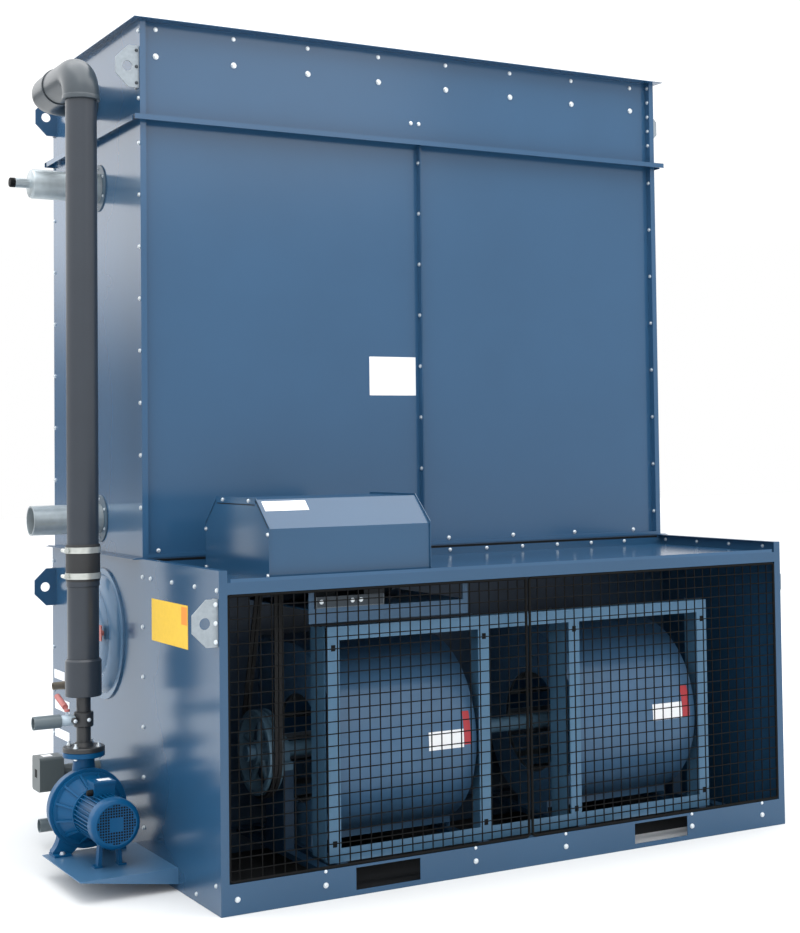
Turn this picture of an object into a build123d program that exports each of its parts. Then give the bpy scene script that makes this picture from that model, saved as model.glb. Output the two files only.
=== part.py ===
from build123d import *
from math import atan, cos, degrees, pi, radians, sin
import os

os.makedirs("parts", exist_ok=True)

# Overall sizes, in millimetres: +X to the right along the guarded front, +Y to the back
unit_width = 2940.0
fan_section_depth = 955.0
coil_section_depth = 1385.0
lower_height = 1380.0
coil_height = 2020.0
spray_height = 450.0
casing_inset = 12.0
sheet = 3.0

unit_depth = fan_section_depth + coil_section_depth
spray_joint_height = lower_height + coil_height
unit_height = spray_joint_height + spray_height
left = -unit_width / 2
right = unit_width / 2
front = -unit_depth / 2
back = unit_depth / 2
casing_front = front + fan_section_depth
casing_middle = (casing_front + back) / 2
casing_left = left + casing_inset
casing_right = right - casing_inset

# Folds of the sheet metal
front_return = 36.0
bottom_return = 50.0
joint_flange = 35.0
corner_return = 25.0
pan_depth = 35.0
rim_reach = 37.0
spray_lip = 21.0
panel_gasket = 2.0
fold_clearance = 10.0

# Base, roof tray and guards of the fan section
skirt_height = 125.0
skirt_return = 45.0
pocket_width = 305.0
pocket_height = 92.0
pocket_bottom = 22.0
pocket_spacing = 1434.0
roof_drop = 50.0
lintel_height = 48.0
lintel_return = 30.0
tray_upstand = 46.0
basin_floor_height = 60.0
bearer_width = 80.0
bearer_spacing = 700.0
rail_height = 25.0
rail_width = 50.0
guard_thickness = 6.0
guard_frame = 10.0
guard_wire = 6.0
guard_pitch = 190.0
guard_gap = 6.0
guard_lap = 2.0

roof_top = lower_height - roof_drop
roof_under = roof_top - sheet
lintel_bottom = roof_top - lintel_height
rail_top = skirt_height - sheet

# Fans on one shaft
fan_size_ratio = 0.3864
shaft_place_ratio = 0.467
shaft_y = casing_front - shaft_place_ratio * fan_section_depth
shaft_radius = 34.0
shaft_running_gap = 0.05
shaft_seat_gap = 0.1
left_fan_inset = 918.0
right_fan_inset = 796.0
left_fan_middle = left + left_fan_inset
right_fan_middle = right - right_fan_inset
fan_width = 694.0
fan_sheet = 4.0
scroll_start_radius = fan_size_ratio * fan_section_depth
scroll_growth = 36.0
scroll_offset_y = 21.0
scroll_offset_z = 15.0
scroll_floor_gap = 28.0
scroll_foot_length = 260.0
shaft_z = rail_top + scroll_floor_gap + scroll_start_radius + scroll_growth - scroll_offset_z
wheel_tip_gap = 69.0
blade_depth = 54.0
inlet_lap = 6.0
wheel_radius = scroll_start_radius - wheel_tip_gap
wheel_inner_radius = wheel_radius - blade_depth
inlet_radius = wheel_inner_radius - inlet_lap
wheel_side_gap = 14.0
scroll_y = shaft_y + scroll_offset_y
scroll_z = shaft_z + scroll_offset_z
outlet_end = casing_front
outlet_floor = scroll_z - scroll_growth + 2 * fan_sheet
outlet_roof = scroll_z + scroll_start_radius + 2 * scroll_growth - fan_sheet
wheel_disc = 8.0
wheel_ring = 6.0
blade_count = 16
inlet_facets = 32
blade_bow = 14.0
blade_thickness = 4.0
hub_radius = 62.0
hub_length = 160.0

# Angle-iron frame in front of the fans
frame_setback = 90.0
frame_face = 58.0
angle_leg = 50.0
angle_thickness = 5.0
frame_headroom = 170.0
frame_side_margin = 53.0
post_thickness = 8.0
post_plate_gap = 30.0
post_plate_depth = 135.0
frame_front = front + frame_setback
frame_top = lintel_bottom - frame_headroom

# Belt drive
pulley_fan_gap = 181.0
pulley_x = left_fan_middle - fan_width / 2 - pulley_fan_gap
pulley_radius = 185.0
pulley_width = 70.0
pulley_rim = 22.0
pulley_hub_radius = 52.0
spoke_count = 5
pulley_facets = 36
spoke_width = 26.0
spoke_thickness = 24.0
groove_depth = 9.0
groove_width = 16.0
belt_running_gap = 5.5
belt_thickness = 9.0
belt_width = 40.0
belt_seat_gap = 0.3
motor_pulley_radius = 80.0
motor_shaft_offset = 119.0
motor_y = shaft_y - motor_shaft_offset
motor_axis_height = 160.0
motor_radius = 150.0
motor_length = 480.0
motor_shaft_radius = 24.0
platform_drop = 132.0
platform_top = roof_under - platform_drop
platform_offset = 35.0
platform_length = 770.0
platform_left = pulley_x + platform_offset
platform_right = platform_left + platform_length
platform_thickness = 6.0
platform_lip = 62.0
platform_back_lip = 30.0
platform_overlap = 10.0
hanger_width = 25.0

# Shaft bearings on legs
pulley_bearing_gap = 90.0
fan_bearing_gap = 110.0
left_bearing_x = pulley_x + pulley_bearing_gap
right_bearing_x = right_fan_middle + fan_width / 2 + fan_bearing_gap
bearing_width = 46.0
bearing_radius = 62.0
bearing_foot = 190.0
bearing_base_drop = 75.0
shaft_overhang = 35.0

# Motor hood
hood_end_gap = 157.0
hood_length = 761.0
hood_left = pulley_x - hood_end_gap
hood_right = hood_left + hood_length
hood_setback = 32.0
hood_casing_gap = 209.0
hood_front = front + hood_setback
hood_back = casing_front - hood_casing_gap
hood_height = 334.0
hood_chamfer = 138.0
hood_shoulder = 118.0
hood_cap_rim = 8.0
hood_flange = 20.0
roof_opening_margin = 45.0

# Lifting lugs
lug_reach = 110.0
lug_height = 192.0
lug_thickness = 8.0
lug_chamfer = 60.0
lug_hole_radius = 24.0
lug_hole_offset = 55.0
lug_tab = 45.0
lug_edge_gap = 12.0
lug_right_setback = 120.0
upper_lug_drop = 222.0
lower_lug_drop = 210.0
upper_lug_z = unit_height - upper_lug_drop
lower_lug_z = lower_height - lower_lug_drop

# Refrigerant connections
coil_pipe_radius = 70.65
coil_pipe_wall = 6.5
coil_pipe_offset = 82.5
coil_pipe_reach = 340.0
inlet_pipe_drop = 247.0
outlet_pipe_rise = 164.0
coil_pipe_y = casing_middle - coil_pipe_offset
inlet_pipe_z = spray_joint_height - inlet_pipe_drop
outlet_pipe_z = lower_height + outlet_pipe_rise
purge_nipple_radius = 23.0
purge_nipple_length = 95.0
collar_radius = 114.0
collar_thickness = 6.0
pipe_seat_gap = 0.1

# Spray water riser
riser_reach = 235.0
riser_setback = 90.0
riser_x = left - riser_reach
riser_y = casing_front + riser_setback
riser_radius = 70.0
elbow_radius = 78.0
socket_radius = 82.0
socket_length = 62.0
elbow_bend = 112.0
header_drop = 258.0
elbow_leg = 127.0
elbow_cuts = 3
header_z = unit_height - header_drop
elbow_bottom = header_z - elbow_leg
coupling_length = 165.0
coupling_rise = 73.0
coupling_top = lower_height + coupling_rise
coupling_bottom = coupling_top - coupling_length
coupling_wall = 6.0
clamp_height = 22.0
clamp_wall = 3.0
clamp_facets = 24
pipe_facets = 28
clamp_edge_gap = 14.0
reducer_bottom = 776.0
reducer_top = 942.0
reducer_radius = 80.0
outlet_pipe_radius = 31.5
pump_flange_radius = 92.5
pump_flange_thickness = 23.0
outlet_flange_top = 552.0
outlet_flange_thickness = 22.0

# Bleed branch with its ball valve
bleed_z = 672.0
saddle_wall = 12.0
saddle_height = 66.0
valve_radius = 24.0
valve_length = 62.0
stem_radius = 7.0
stem_height = 26.0
lever_width = 18.0
lever_thickness = 4.0
lever_length = 105.0
lever_rise = 30.0
lever_boss_radius = 12.0
bleed_pipe_radius = 30.0
bleed_pipe_wall = 4.0
bleed_reach = 462.0
bleed_pipe_end = left - bleed_reach

# Spray pump
shelf_top = 95.0
shelf_reach = 424.0
shelf_overhang = 468.0
shelf_setback = 85.0
shelf_front = casing_front - shelf_overhang
shelf_back = casing_front + shelf_setback
shelf_sheet = 4.0
shelf_lip = 68.0
pump_axis_z = 288.0
volute_radius = 168.0
volute_front_depth = 65.0
volute_back_depth = 58.0
volute_front = riser_y - volute_front_depth
volute_back = riser_y + volute_back_depth
suction_neck_length = 80.0
cover_radius = 176.0
cover_thickness = 16.0
neck_radius = 44.0
pump_foot_width = 230.0
pump_foot_length = 90.0
pump_foot_thickness = 22.0
pump_web = 20.0
bracket_length = 118.0
bracket_end_radius = 106.0
bracket_rib_count = 8
casting_facets = 24
bracket_rib_thickness = 9.0
bracket_rib_height = 12.0
motor_body_radius = 92.0
motor_fin_height = 12.0
motor_fin_thickness = 5.0
motor_fin_count = 20
motor_body_length = 215.0
cowl_radius = 108.0
cowl_length = 62.0
cowl_round = 14.0
terminal_width = 112.0
terminal_length = 96.0
terminal_height = 62.0
motor_leg_spread = 66.0
motor_leg_width = 22.0
motor_leg_length = 46.0
suction_radius = 38.0
suction_bend = 95.0

# Small wall fittings
heater_offset = 77.5
heater_y = casing_middle - heater_offset
heater_z = 350.0
heater_box_length = 115.0
heater_box_width = 130.0
heater_box_height = 160.0
heater_reach = 304.0
heater_neck_radius = 32.0
drain_z = 105.0
drain_reach = 290.0
drain_radius = 31.5
drain_wall = 4.0
makeup_back_gap = 240.0
makeup_y = back - makeup_back_gap
makeup_z = 680.0
makeup_reach = 70.0
makeup_radius = 21.0
makeup_wall = 4.0
hatch_offset = 161.5
hatch_drop = 381.0
hatch_y = casing_middle - hatch_offset
hatch_z = lower_height - hatch_drop
hatch_radius = 312.0
hatch_rim_width = 34.0
hatch_rim_thickness = 10.0
hatch_dome_height = 62.0
hatch_flank_width = 46.0
hatch_flank_height = 44.0
hatch_crown_radius = 150.0

# Drift eliminators in the discharge opening
eliminator_drop = 170.0
eliminator_bottom = unit_height - eliminator_drop
eliminator_height = 130.0
eliminator_pitch = 220.0
eliminator_blade = 6.0
eliminator_tilt = 28.0
eliminator_rail_height = 40.0
eliminator_rail_width = 30.0
eliminator_end_gap = 4.0


def block(x, y, z, mode=Mode.ADD):
    """A plain plate or bar between two limits along each axis."""
    middle = ((x[0] + x[1]) / 2, (y[0] + y[1]) / 2, (z[0] + z[1]) / 2)
    with Locations(middle):
        Box(x[1] - x[0], y[1] - y[0], z[1] - z[0], mode=mode)


def rod(plane, centre, radius, length, mode=Mode.ADD, sides=0):
    """A bar that stands on a plane, at a point of that plane: round, or with a number of flat sides."""
    with BuildSketch(plane) as outline:
        with Locations(centre):
            if sides:
                RegularPolygon(radius, sides)
            else:
                Circle(radius)
    extrude(outline.sketch, amount=length, mode=mode)


def turned(plane, stations, sides):
    """A turned piece about the plane's own axis: flat flanks between stations of distance and radius."""
    for (place, radius), (next_place, next_radius) in zip(stations, stations[1:]):
        length = next_place - place
        with BuildSketch(plane.offset(place)) as outline:
            RegularPolygon(radius, sides)
        flank = degrees(atan((radius - next_radius) * cos(pi / sides) / length))
        extrude(outline.sketch, amount=length, taper=flank)


def across(x):
    """The plane at x whose own axes run to the back and up, facing right."""
    return Plane.YZ.offset(x)


def along(y):
    """The plane at y whose own axes run to the right and up, facing the back."""
    return Plane(origin=(0, y, 0), x_dir=(-1, 0, 0), z_dir=(0, 1, 0))


def level(z):
    """The horizontal plane at z, facing up."""
    return Plane.XY.offset(z)


def finish(piece, node):
    """Names a finished piece and writes its file."""
    piece.part.label = node
    export_step(piece.part, "parts/" + node + ".step")


# Lower side panels: one tall sheet each, folded in at the front, back and bottom
for side, node in ((-1, "left_side_panel"), (1, "right_side_panel")):
    with BuildPart() as side_panel:
        outer = side * unit_width / 2
        inner = outer - side * sheet
        folded = outer - side * front_return
        reach = outer + side * joint_flange
        bottom_fold = outer - side * bottom_return
        block(sorted((outer, inner)), (front, back), (0, lower_height))
        block(sorted((outer, folded)), (front, front + sheet), (0, lower_height))
        block(sorted((outer, folded)), (back - sheet, back), (0, lower_height))
        fold_start = front + bottom_return + fold_clearance
        fold_end = back - bottom_return - fold_clearance
        block(sorted((outer, bottom_fold)), (fold_start, fold_end), (0, sheet))
        block(sorted((outer, reach)), (casing_front, back), (lower_height - sheet, lower_height))
        block(sorted((outer, folded)), (front, casing_front), (lower_height - sheet, lower_height))
    finish(side_panel, node)

# Rear panel of the basin
with BuildPart() as lower_rear_panel:
    rear_face = back - sheet
    rear_left = left + bottom_return + fold_clearance
    block((left + sheet, right - sheet), (rear_face - sheet, rear_face), (0, lower_height))
    block((rear_left, -rear_left), (rear_face - bottom_return, rear_face), (0, sheet))
finish(lower_rear_panel, "lower_rear_panel")

# Front skirt: upright plates at the ends and between the two fork pockets
skirt_left = left + front_return
pocket_top = pocket_bottom + pocket_height
with BuildPart() as front_skirt:
    pocket_inner = (pocket_spacing - pocket_width) / 2
    pocket_outer = (pocket_spacing + pocket_width) / 2
    for plate in ((skirt_left, -pocket_outer), (-pocket_inner, pocket_inner), (pocket_outer, -skirt_left)):
        block(plate, (front, front + sheet), (pocket_bottom, pocket_top))
finish(front_skirt, "front_skirt")

# Folded edges of the skirt, below and above the fork pockets
with BuildPart() as skirt_folds:
    span = (skirt_left, -skirt_left)
    block(span, (front, front + sheet), (0, pocket_bottom))
    block(span, (front, front + bottom_return), (0, sheet))
    block(span, (front, front + sheet), (pocket_top, skirt_height))
    block(span, (front, front + skirt_return), (skirt_height - sheet, skirt_height))
finish(skirt_folds, "skirt_folds")

# Wall between the fan chamber and the basin, with the fans' outlets and a ledge for the floor rails
with BuildPart() as chamber_divider:
    inner_left = left + sheet
    block((inner_left, -inner_left), (casing_front, casing_front + sheet), (sheet, lower_height))
    ledge_left = left + front_return
    block(
        (ledge_left, -ledge_left),
        (casing_front - skirt_return, casing_front),
        (skirt_height - sheet, skirt_height),
    )
    for middle in (left_fan_middle, right_fan_middle):
        outlet_half = fan_width / 2 - fan_sheet
        block(
            (middle - outlet_half, middle + outlet_half),
            (casing_front - sheet, casing_front + 2 * sheet),
            (outlet_floor, outlet_roof),
            mode=Mode.SUBTRACT,
        )
finish(chamber_divider, "chamber_divider")

# Basin floor on two bearers that stand on the ground
with BuildPart() as basin_floor:
    block(
        (left + sheet, right - sheet),
        (casing_front + sheet, back - 2 * sheet),
        (basin_floor_height, basin_floor_height + sheet),
    )
    bearer_left = left + bottom_return + fold_clearance
    for y in (0, bearer_spacing):
        block((bearer_left, -bearer_left), (y - bearer_width / 2, y + bearer_width / 2), (0, basin_floor_height))
finish(basin_floor, "basin_floor")

# Roof tray of the fan chamber: lintel at the front, upstands at the back and the sides
with BuildPart() as fan_roof:
    roof_left = left + sheet
    block((roof_left, -roof_left), (front + sheet, casing_front), (roof_under, roof_top))
    lintel_left = left + front_return
    block((lintel_left, -lintel_left), (front, front + sheet), (lintel_bottom, roof_top))
    block((lintel_left, -lintel_left), (front, front + lintel_return), (lintel_bottom, lintel_bottom + sheet))
    upstand_top = roof_top + tray_upstand
    block((roof_left, -roof_left), (casing_front - sheet, casing_front), (roof_top, upstand_top))
    upstand_end = roof_top + tray_upstand - sheet
    for x_edge in (roof_left, -roof_left - sheet):
        block((x_edge, x_edge + sheet), (front + sheet, casing_front), (roof_top, upstand_end))
    block(
        (hood_left + roof_opening_margin, hood_right - roof_opening_margin),
        (hood_front + roof_opening_margin, hood_back - roof_opening_margin),
        (roof_under - sheet, roof_top + sheet),
        mode=Mode.SUBTRACT,
    )
finish(fan_roof, "fan_roof")

# Mesh guards: a rod frame filled with a square wire grid
guard_bottom = skirt_height
guard_top = lintel_bottom
guard_back = front + sheet + guard_thickness
guard_outer = right - front_return + guard_lap
for node, guard_left, guard_right in (
    ("guard_left", -guard_outer, -guard_gap / 2),
    ("guard_right", guard_gap / 2, guard_outer),
):
    with BuildPart() as guard:
        guard_width = guard_right - guard_left
        guard_height = guard_top - guard_bottom
        clear_width = guard_width - 2 * guard_frame
        clear_height = guard_height - 2 * guard_frame
        columns = round(clear_width / guard_pitch)
        rows = round(clear_height / guard_pitch)
        pitch_x = (clear_width + guard_wire) / columns
        pitch_z = (clear_height + guard_wire) / rows
        middle = (-(guard_left + guard_right) / 2, (guard_bottom + guard_top) / 2)
        with BuildSketch(along(guard_back)):
            with Locations(middle):
                Rectangle(guard_width, guard_height)
                with GridLocations(pitch_x, pitch_z, columns, rows):
                    Rectangle(pitch_x - guard_wire, pitch_z - guard_wire, mode=Mode.SUBTRACT)
        extrude(amount=-guard_thickness)
    finish(guard, node)

# Floor rails: channels from the skirt to the divider, with the legs of the shaft bearings
fan_edges = [
    middle + edge * fan_width / 2
    for middle in (left_fan_middle, right_fan_middle)
    for edge in (-1, 1)
]
bearing_places = (left_bearing_x, right_bearing_x)
leg_top = shaft_z - bearing_base_drop
with BuildPart() as base_rails:
    for x in fan_edges + list(bearing_places):
        with BuildSketch(along(front + sheet)):
            with Locations((-x, rail_top - rail_height / 2)):
                Rectangle(rail_width, rail_height)
            with Locations((-x, rail_top - rail_height / 2 - sheet)):
                Rectangle(rail_width - 2 * sheet, rail_height, mode=Mode.SUBTRACT)
        extrude(amount=casing_front - front - sheet)
    for x in bearing_places:
        with BuildSketch(level(rail_top)):
            with Locations((x, shaft_y)):
                Rectangle(rail_width, bearing_foot)
                with Locations((angle_thickness, 0)):
                    Rectangle(rail_width, bearing_foot - 2 * angle_thickness, mode=Mode.SUBTRACT)
        extrude(amount=leg_top - rail_top)
        block(
            (x - rail_width / 2, x + rail_width / 2),
            (shaft_y - bearing_foot / 2, shaft_y + bearing_foot / 2),
            (leg_top - angle_thickness, leg_top),
        )
finish(base_rails, "base_rails")

# Pillow blocks that carry the fan shaft
with BuildPart() as shaft_bearings:
    for x in bearing_places:
        start = x - bearing_width / 2
        with BuildSketch(across(start)):
            with Locations((shaft_y, shaft_z)):
                RegularPolygon(bearing_radius, casting_facets)
            with Locations((shaft_y, (leg_top + shaft_z) / 2)):
                Rectangle(2 * bearing_radius, shaft_z - leg_top)
            with Locations((shaft_y, leg_top + shaft_radius / 2)):
                Rectangle(bearing_foot, shaft_radius)
            with Locations((shaft_y, shaft_z)):
                Circle(shaft_radius + shaft_running_gap, mode=Mode.SUBTRACT)
        extrude(amount=bearing_width)
finish(shaft_bearings, "shaft_bearings")

# Fan frame: two long angles, and at each side of a fan a flat post with a side plate behind it
frame_bottom = rail_top
frame_left = left_fan_middle - fan_width / 2 - frame_side_margin
frame_right = right_fan_middle + fan_width / 2 + frame_side_margin
with BuildPart() as fan_frame_rails:
    depth = (frame_front, frame_front + angle_leg)
    face = (frame_front, frame_front + angle_thickness)
    span = (frame_left, frame_right)
    block(span, face, (frame_bottom, frame_bottom + frame_face))
    block(span, depth, (frame_bottom, frame_bottom + angle_thickness))
    block(span, face, (frame_top - frame_face, frame_top))
    block(span, depth, (frame_top - angle_thickness, frame_top))
finish(fan_frame_rails, "fan_frame_rails")

with BuildPart() as fan_frame_posts:
    post_height = (frame_bottom + frame_face, frame_top - frame_face)
    plate_height = (frame_bottom + angle_thickness, frame_top - angle_thickness)
    plate_front = frame_front + post_plate_gap
    for middle in (left_fan_middle, right_fan_middle):
        for edge in (-1, 1):
            outer = middle + edge * (fan_width / 2 + frame_side_margin)
            inner = outer - edge * frame_face
            web = outer - edge * angle_thickness
            block(sorted((outer, inner)), (frame_front, frame_front + post_thickness), post_height)
            block(sorted((outer, web)), (plate_front, plate_front + post_plate_depth), plate_height)
finish(fan_frame_posts, "fan_frame_posts")

# Fan scrolls: three quarter arcs of growing radius that run out into a straight outlet at the top


def scroll_outline(inset, lip):
    """The spiral outline, moved inwards by the sheet, with the outlet's floor a lip above the spiral's start."""
    small = scroll_start_radius - inset
    medium = small + scroll_growth
    large = medium + scroll_growth
    start_z = scroll_z - scroll_growth
    with BuildSketch(Plane.YZ) as outline:
        with BuildLine():
            RadiusArc((scroll_y + small, start_z), (scroll_y, start_z - small), small)
            RadiusArc((scroll_y, scroll_z - medium), (scroll_y - medium, scroll_z), medium)
            RadiusArc((scroll_y - medium, scroll_z), (scroll_y + scroll_growth, scroll_z + large), large)
            Polyline(
                (scroll_y + scroll_growth, scroll_z + large),
                (outlet_end, scroll_z + large),
                (outlet_end, start_z + lip),
                (scroll_y + small, start_z + lip),
                (scroll_y + small, start_z),
            )
        make_face()
    return outline.sketch


for node, middle in (("left_fan_scroll", left_fan_middle), ("right_fan_scroll", right_fan_middle)):
    with BuildPart() as fan_scroll:
        start = middle - fan_width / 2
        extrude(scroll_outline(0, fan_sheet).moved(Location((start, 0, 0))), amount=fan_width)
        foot = (shaft_y - scroll_foot_length / 2, shaft_y + scroll_foot_length / 2)
        block((start, start + fan_width), foot, (rail_top, shaft_z - inlet_radius))
        inside = start + fan_sheet
        clear_width = fan_width - 2 * fan_sheet
        extrude(
            scroll_outline(fan_sheet, 2 * fan_sheet).moved(Location((inside, 0, 0))),
            amount=clear_width,
            mode=Mode.SUBTRACT,
        )
        block(
            (inside, inside + clear_width),
            (foot[0] - fan_sheet, foot[1] + fan_sheet),
            (rail_top - fan_sheet, scroll_z - scroll_growth - scroll_start_radius),
            mode=Mode.SUBTRACT,
        )
        rod(across(start), (shaft_y, shaft_z), inlet_radius, fan_width, Mode.SUBTRACT, inlet_facets)
    finish(fan_scroll, node)

# Fan wheels: forward-bent blades between two rings, carried by a disc and its hub
wheel_half = fan_width / 2 - fan_sheet - wheel_side_gap
for node, middle in (("left_fan_wheel", left_fan_middle), ("right_fan_wheel", right_fan_middle)):
    with BuildPart() as fan_wheel:
        wheel_plane = Plane(origin=(middle - wheel_half, shaft_y, shaft_z), x_dir=(0, 1, 0), z_dir=(1, 0, 0))
        blade_inner = wheel_inner_radius + blade_thickness
        blade_outer = wheel_radius - 2 * blade_thickness
        blade_bend = (blade_inner + blade_outer) / 2
        with BuildSketch(wheel_plane):
            with PolarLocations(0, blade_count):
                Polygon(
                    (blade_inner, 0),
                    (blade_bend, blade_bow),
                    (blade_outer, 0),
                    (blade_outer, blade_thickness),
                    (blade_bend, blade_bow + blade_thickness),
                    (blade_inner, blade_thickness),
                    align=None,
                )
        extrude(amount=2 * wheel_half)
        for place in (0, 2 * wheel_half - wheel_ring):
            with BuildSketch(wheel_plane.offset(place)):
                RegularPolygon(wheel_radius, blade_count)
                RegularPolygon(wheel_inner_radius, blade_count, mode=Mode.SUBTRACT)
            extrude(amount=wheel_ring)
        with BuildSketch(wheel_plane.offset(wheel_half - wheel_disc / 2)):
            RegularPolygon(wheel_radius, blade_count)
        extrude(amount=wheel_disc)
        rod(wheel_plane.offset(wheel_half - hub_length / 2), (0, 0), hub_radius, hub_length, sides=blade_count)
        rod(wheel_plane, (0, 0), shaft_radius + shaft_seat_gap, 2 * wheel_half, mode=Mode.SUBTRACT)
    finish(fan_wheel, node)

# Fan shaft
shaft_left = pulley_x - pulley_width / 2 - shaft_overhang
shaft_right = right_bearing_x + bearing_width / 2 + shaft_overhang
with BuildPart() as fan_shaft:
    rod(across(shaft_left), (shaft_y, shaft_z), shaft_radius, shaft_right - shaft_left)
finish(fan_shaft, "fan_shaft")

# Fan pulley: a turned rim with two V-grooves, spokes and hub
with BuildPart() as fan_pulley:
    pulley_half = pulley_width / 2
    pulley_start = pulley_x - pulley_half
    pulley_plane = Plane(origin=(pulley_start, shaft_y, shaft_z), x_dir=(0, 1, 0), z_dir=(1, 0, 0))
    rim_inner = pulley_radius - pulley_rim
    groove_half = groove_width / 2
    rim = [(0, pulley_radius)]
    for groove in (pulley_half - belt_width / 4, pulley_half + belt_width / 4):
        rim.append((groove - groove_half, pulley_radius))
        rim.append((groove, pulley_radius - groove_depth))
        rim.append((groove + groove_half, pulley_radius))
    rim.append((pulley_width, pulley_radius))
    turned(pulley_plane, rim, pulley_facets)
    rod(pulley_plane, (0, 0), rim_inner, pulley_width, Mode.SUBTRACT, pulley_facets)
    rod(pulley_plane, (0, 0), pulley_hub_radius, pulley_width, sides=casting_facets)
    spoke_length = rim_inner - pulley_hub_radius / 2 + pulley_rim / 2
    with BuildSketch(pulley_plane.offset((pulley_width - spoke_thickness) / 2)):
        with PolarLocations(pulley_hub_radius / 2 + spoke_length / 2, spoke_count, start_angle=90):
            Rectangle(spoke_length, spoke_width)
    extrude(amount=spoke_thickness)
    rod(pulley_plane, (0, 0), shaft_radius + shaft_seat_gap, pulley_width, mode=Mode.SUBTRACT)
finish(fan_pulley, "fan_pulley")

# Drive belts: one loop round the fan pulley and the motor pulley
motor_z = platform_top + motor_axis_height
belt_inner_large = pulley_radius + belt_running_gap
belt_inner_small = motor_pulley_radius + belt_seat_gap
with BuildPart() as drive_belts:
    with BuildSketch(across(pulley_x - belt_width / 2)):
        for thickness, mode in ((belt_thickness, Mode.ADD), (0, Mode.SUBTRACT)):
            with BuildSketch(Plane.XY, mode=mode) as loop:
                with Locations((shaft_y, shaft_z)):
                    RegularPolygon(belt_inner_large + thickness, pulley_facets, major_radius=False)
                with Locations((motor_y, motor_z)):
                    RegularPolygon(belt_inner_small + thickness, casting_facets, major_radius=False)
                make_hull()
    extrude(amount=belt_width)
finish(drive_belts, "drive_belts")

# Fan motor on its platform, with its pulley
with BuildPart() as fan_motor:
    motor_start = pulley_x + pulley_width / 2 + shaft_overhang
    rod(across(motor_start), (motor_y, motor_z), motor_radius, motor_length, sides=casting_facets)
    drive_end = across(pulley_x - pulley_width / 2)
    rod(drive_end, (motor_y, motor_z), motor_shaft_radius, motor_length / 2, sides=casting_facets)
    rod(drive_end, (motor_y, motor_z), motor_pulley_radius, pulley_width, sides=pipe_facets)
    for place in (motor_start + motor_length / 4, motor_start + motor_length * 3 / 4):
        block(
            (place - angle_leg, place + angle_leg),
            (motor_y - motor_radius, motor_y + motor_radius),
            (platform_top, motor_z - motor_radius / 2),
        )
finish(fan_motor, "fan_motor")

# Motor platform hung under the roof
platform_front = hood_front + roof_opening_margin - platform_overlap
platform_back = hood_back - roof_opening_margin + platform_overlap
with BuildPart() as motor_platform:
    plate = (platform_top - platform_thickness, platform_top)
    block((platform_left, platform_right), (platform_front, platform_back), plate)
    lip = (platform_top - platform_lip, platform_top)
    block((platform_left, platform_right), (platform_front, platform_front + platform_thickness), lip)
    back_lip = (platform_top - platform_back_lip, platform_top)
    block((platform_left, platform_right), (platform_back - platform_thickness, platform_back), back_lip)
    for x in (platform_left, platform_right - hanger_width):
        for y in (platform_front, platform_back - platform_thickness):
            block((x, x + hanger_width), (y, y + platform_thickness), (platform_top, roof_under))
finish(motor_platform, "motor_platform")

# Motor hood: a folded cover with sloping shoulders and flanged end caps
hood_top = roof_top + hood_height


def hood_outline(inset, reach):
    """The hood's section: upright walls, two sloping shoulders and a flat top."""
    low = roof_top - reach
    shoulder = hood_top - inset - hood_shoulder
    with BuildSketch(Plane.YZ) as outline:
        with BuildLine():
            Polyline(
                (hood_front + inset, low),
                (hood_front + inset, shoulder),
                (hood_front + hood_chamfer, hood_top - inset),
                (hood_back - hood_chamfer, hood_top - inset),
                (hood_back - inset, shoulder),
                (hood_back - inset, low),
                close=True,
            )
        make_face()
    return outline.sketch


with BuildPart() as motor_hood:
    extrude(hood_outline(hood_cap_rim, 0).moved(Location((hood_left, 0, 0))), amount=hood_length)
    for x in (hood_left, hood_right - sheet):
        extrude(hood_outline(0, 0).moved(Location((x, 0, 0))), amount=sheet)
    block(
        (hood_left, hood_right),
        (hood_front, hood_back),
        (roof_top, roof_top + sheet),
    )
    extrude(
        hood_outline(hood_cap_rim + sheet, sheet).moved(Location((hood_left + sheet, 0, 0))),
        amount=hood_length - 2 * sheet,
        mode=Mode.SUBTRACT,
    )
finish(motor_hood, "motor_hood")

# Casing side panels: sheets with folded corners and a bolting flange at the bottom
for side, node in ((-1, "casing_left_panel"), (1, "casing_right_panel")):
    with BuildPart() as casing_side:
        outer = side * casing_right
        inner = outer - side * sheet
        folded = outer - side * corner_return
        reach = outer + side * joint_flange
        block(sorted((outer, inner)), (casing_front, back), (lower_height, spray_joint_height))
        for y in (casing_front, back - sheet):
            block(sorted((outer, folded)), (y, y + sheet), (lower_height, spray_joint_height))
        block(sorted((outer, reach)), (casing_front, back), (lower_height, lower_height + sheet))
    finish(casing_side, node)

# Casing front and rear panels: shallow pans whose flanges stand outwards
pan_left = casing_left + corner_return
for facing, node in ((1, "casing_front_panels"), (-1, "casing_rear_panels")):
    with BuildPart() as casing_pans:
        rim_y = casing_middle - facing * (casing_middle - casing_front)
        wall_y = rim_y + facing * pan_depth
        for x in ((pan_left, -panel_gasket / 2), (panel_gasket / 2, -pan_left)):
            block(x, sorted((rim_y, wall_y + facing * sheet)), (lower_height, spray_joint_height))
            block(
                (x[0] + sheet, x[1] - sheet),
                sorted((rim_y, wall_y)),
                (lower_height + sheet, spray_joint_height - sheet),
                mode=Mode.SUBTRACT,
            )
    finish(casing_pans, node)

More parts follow.
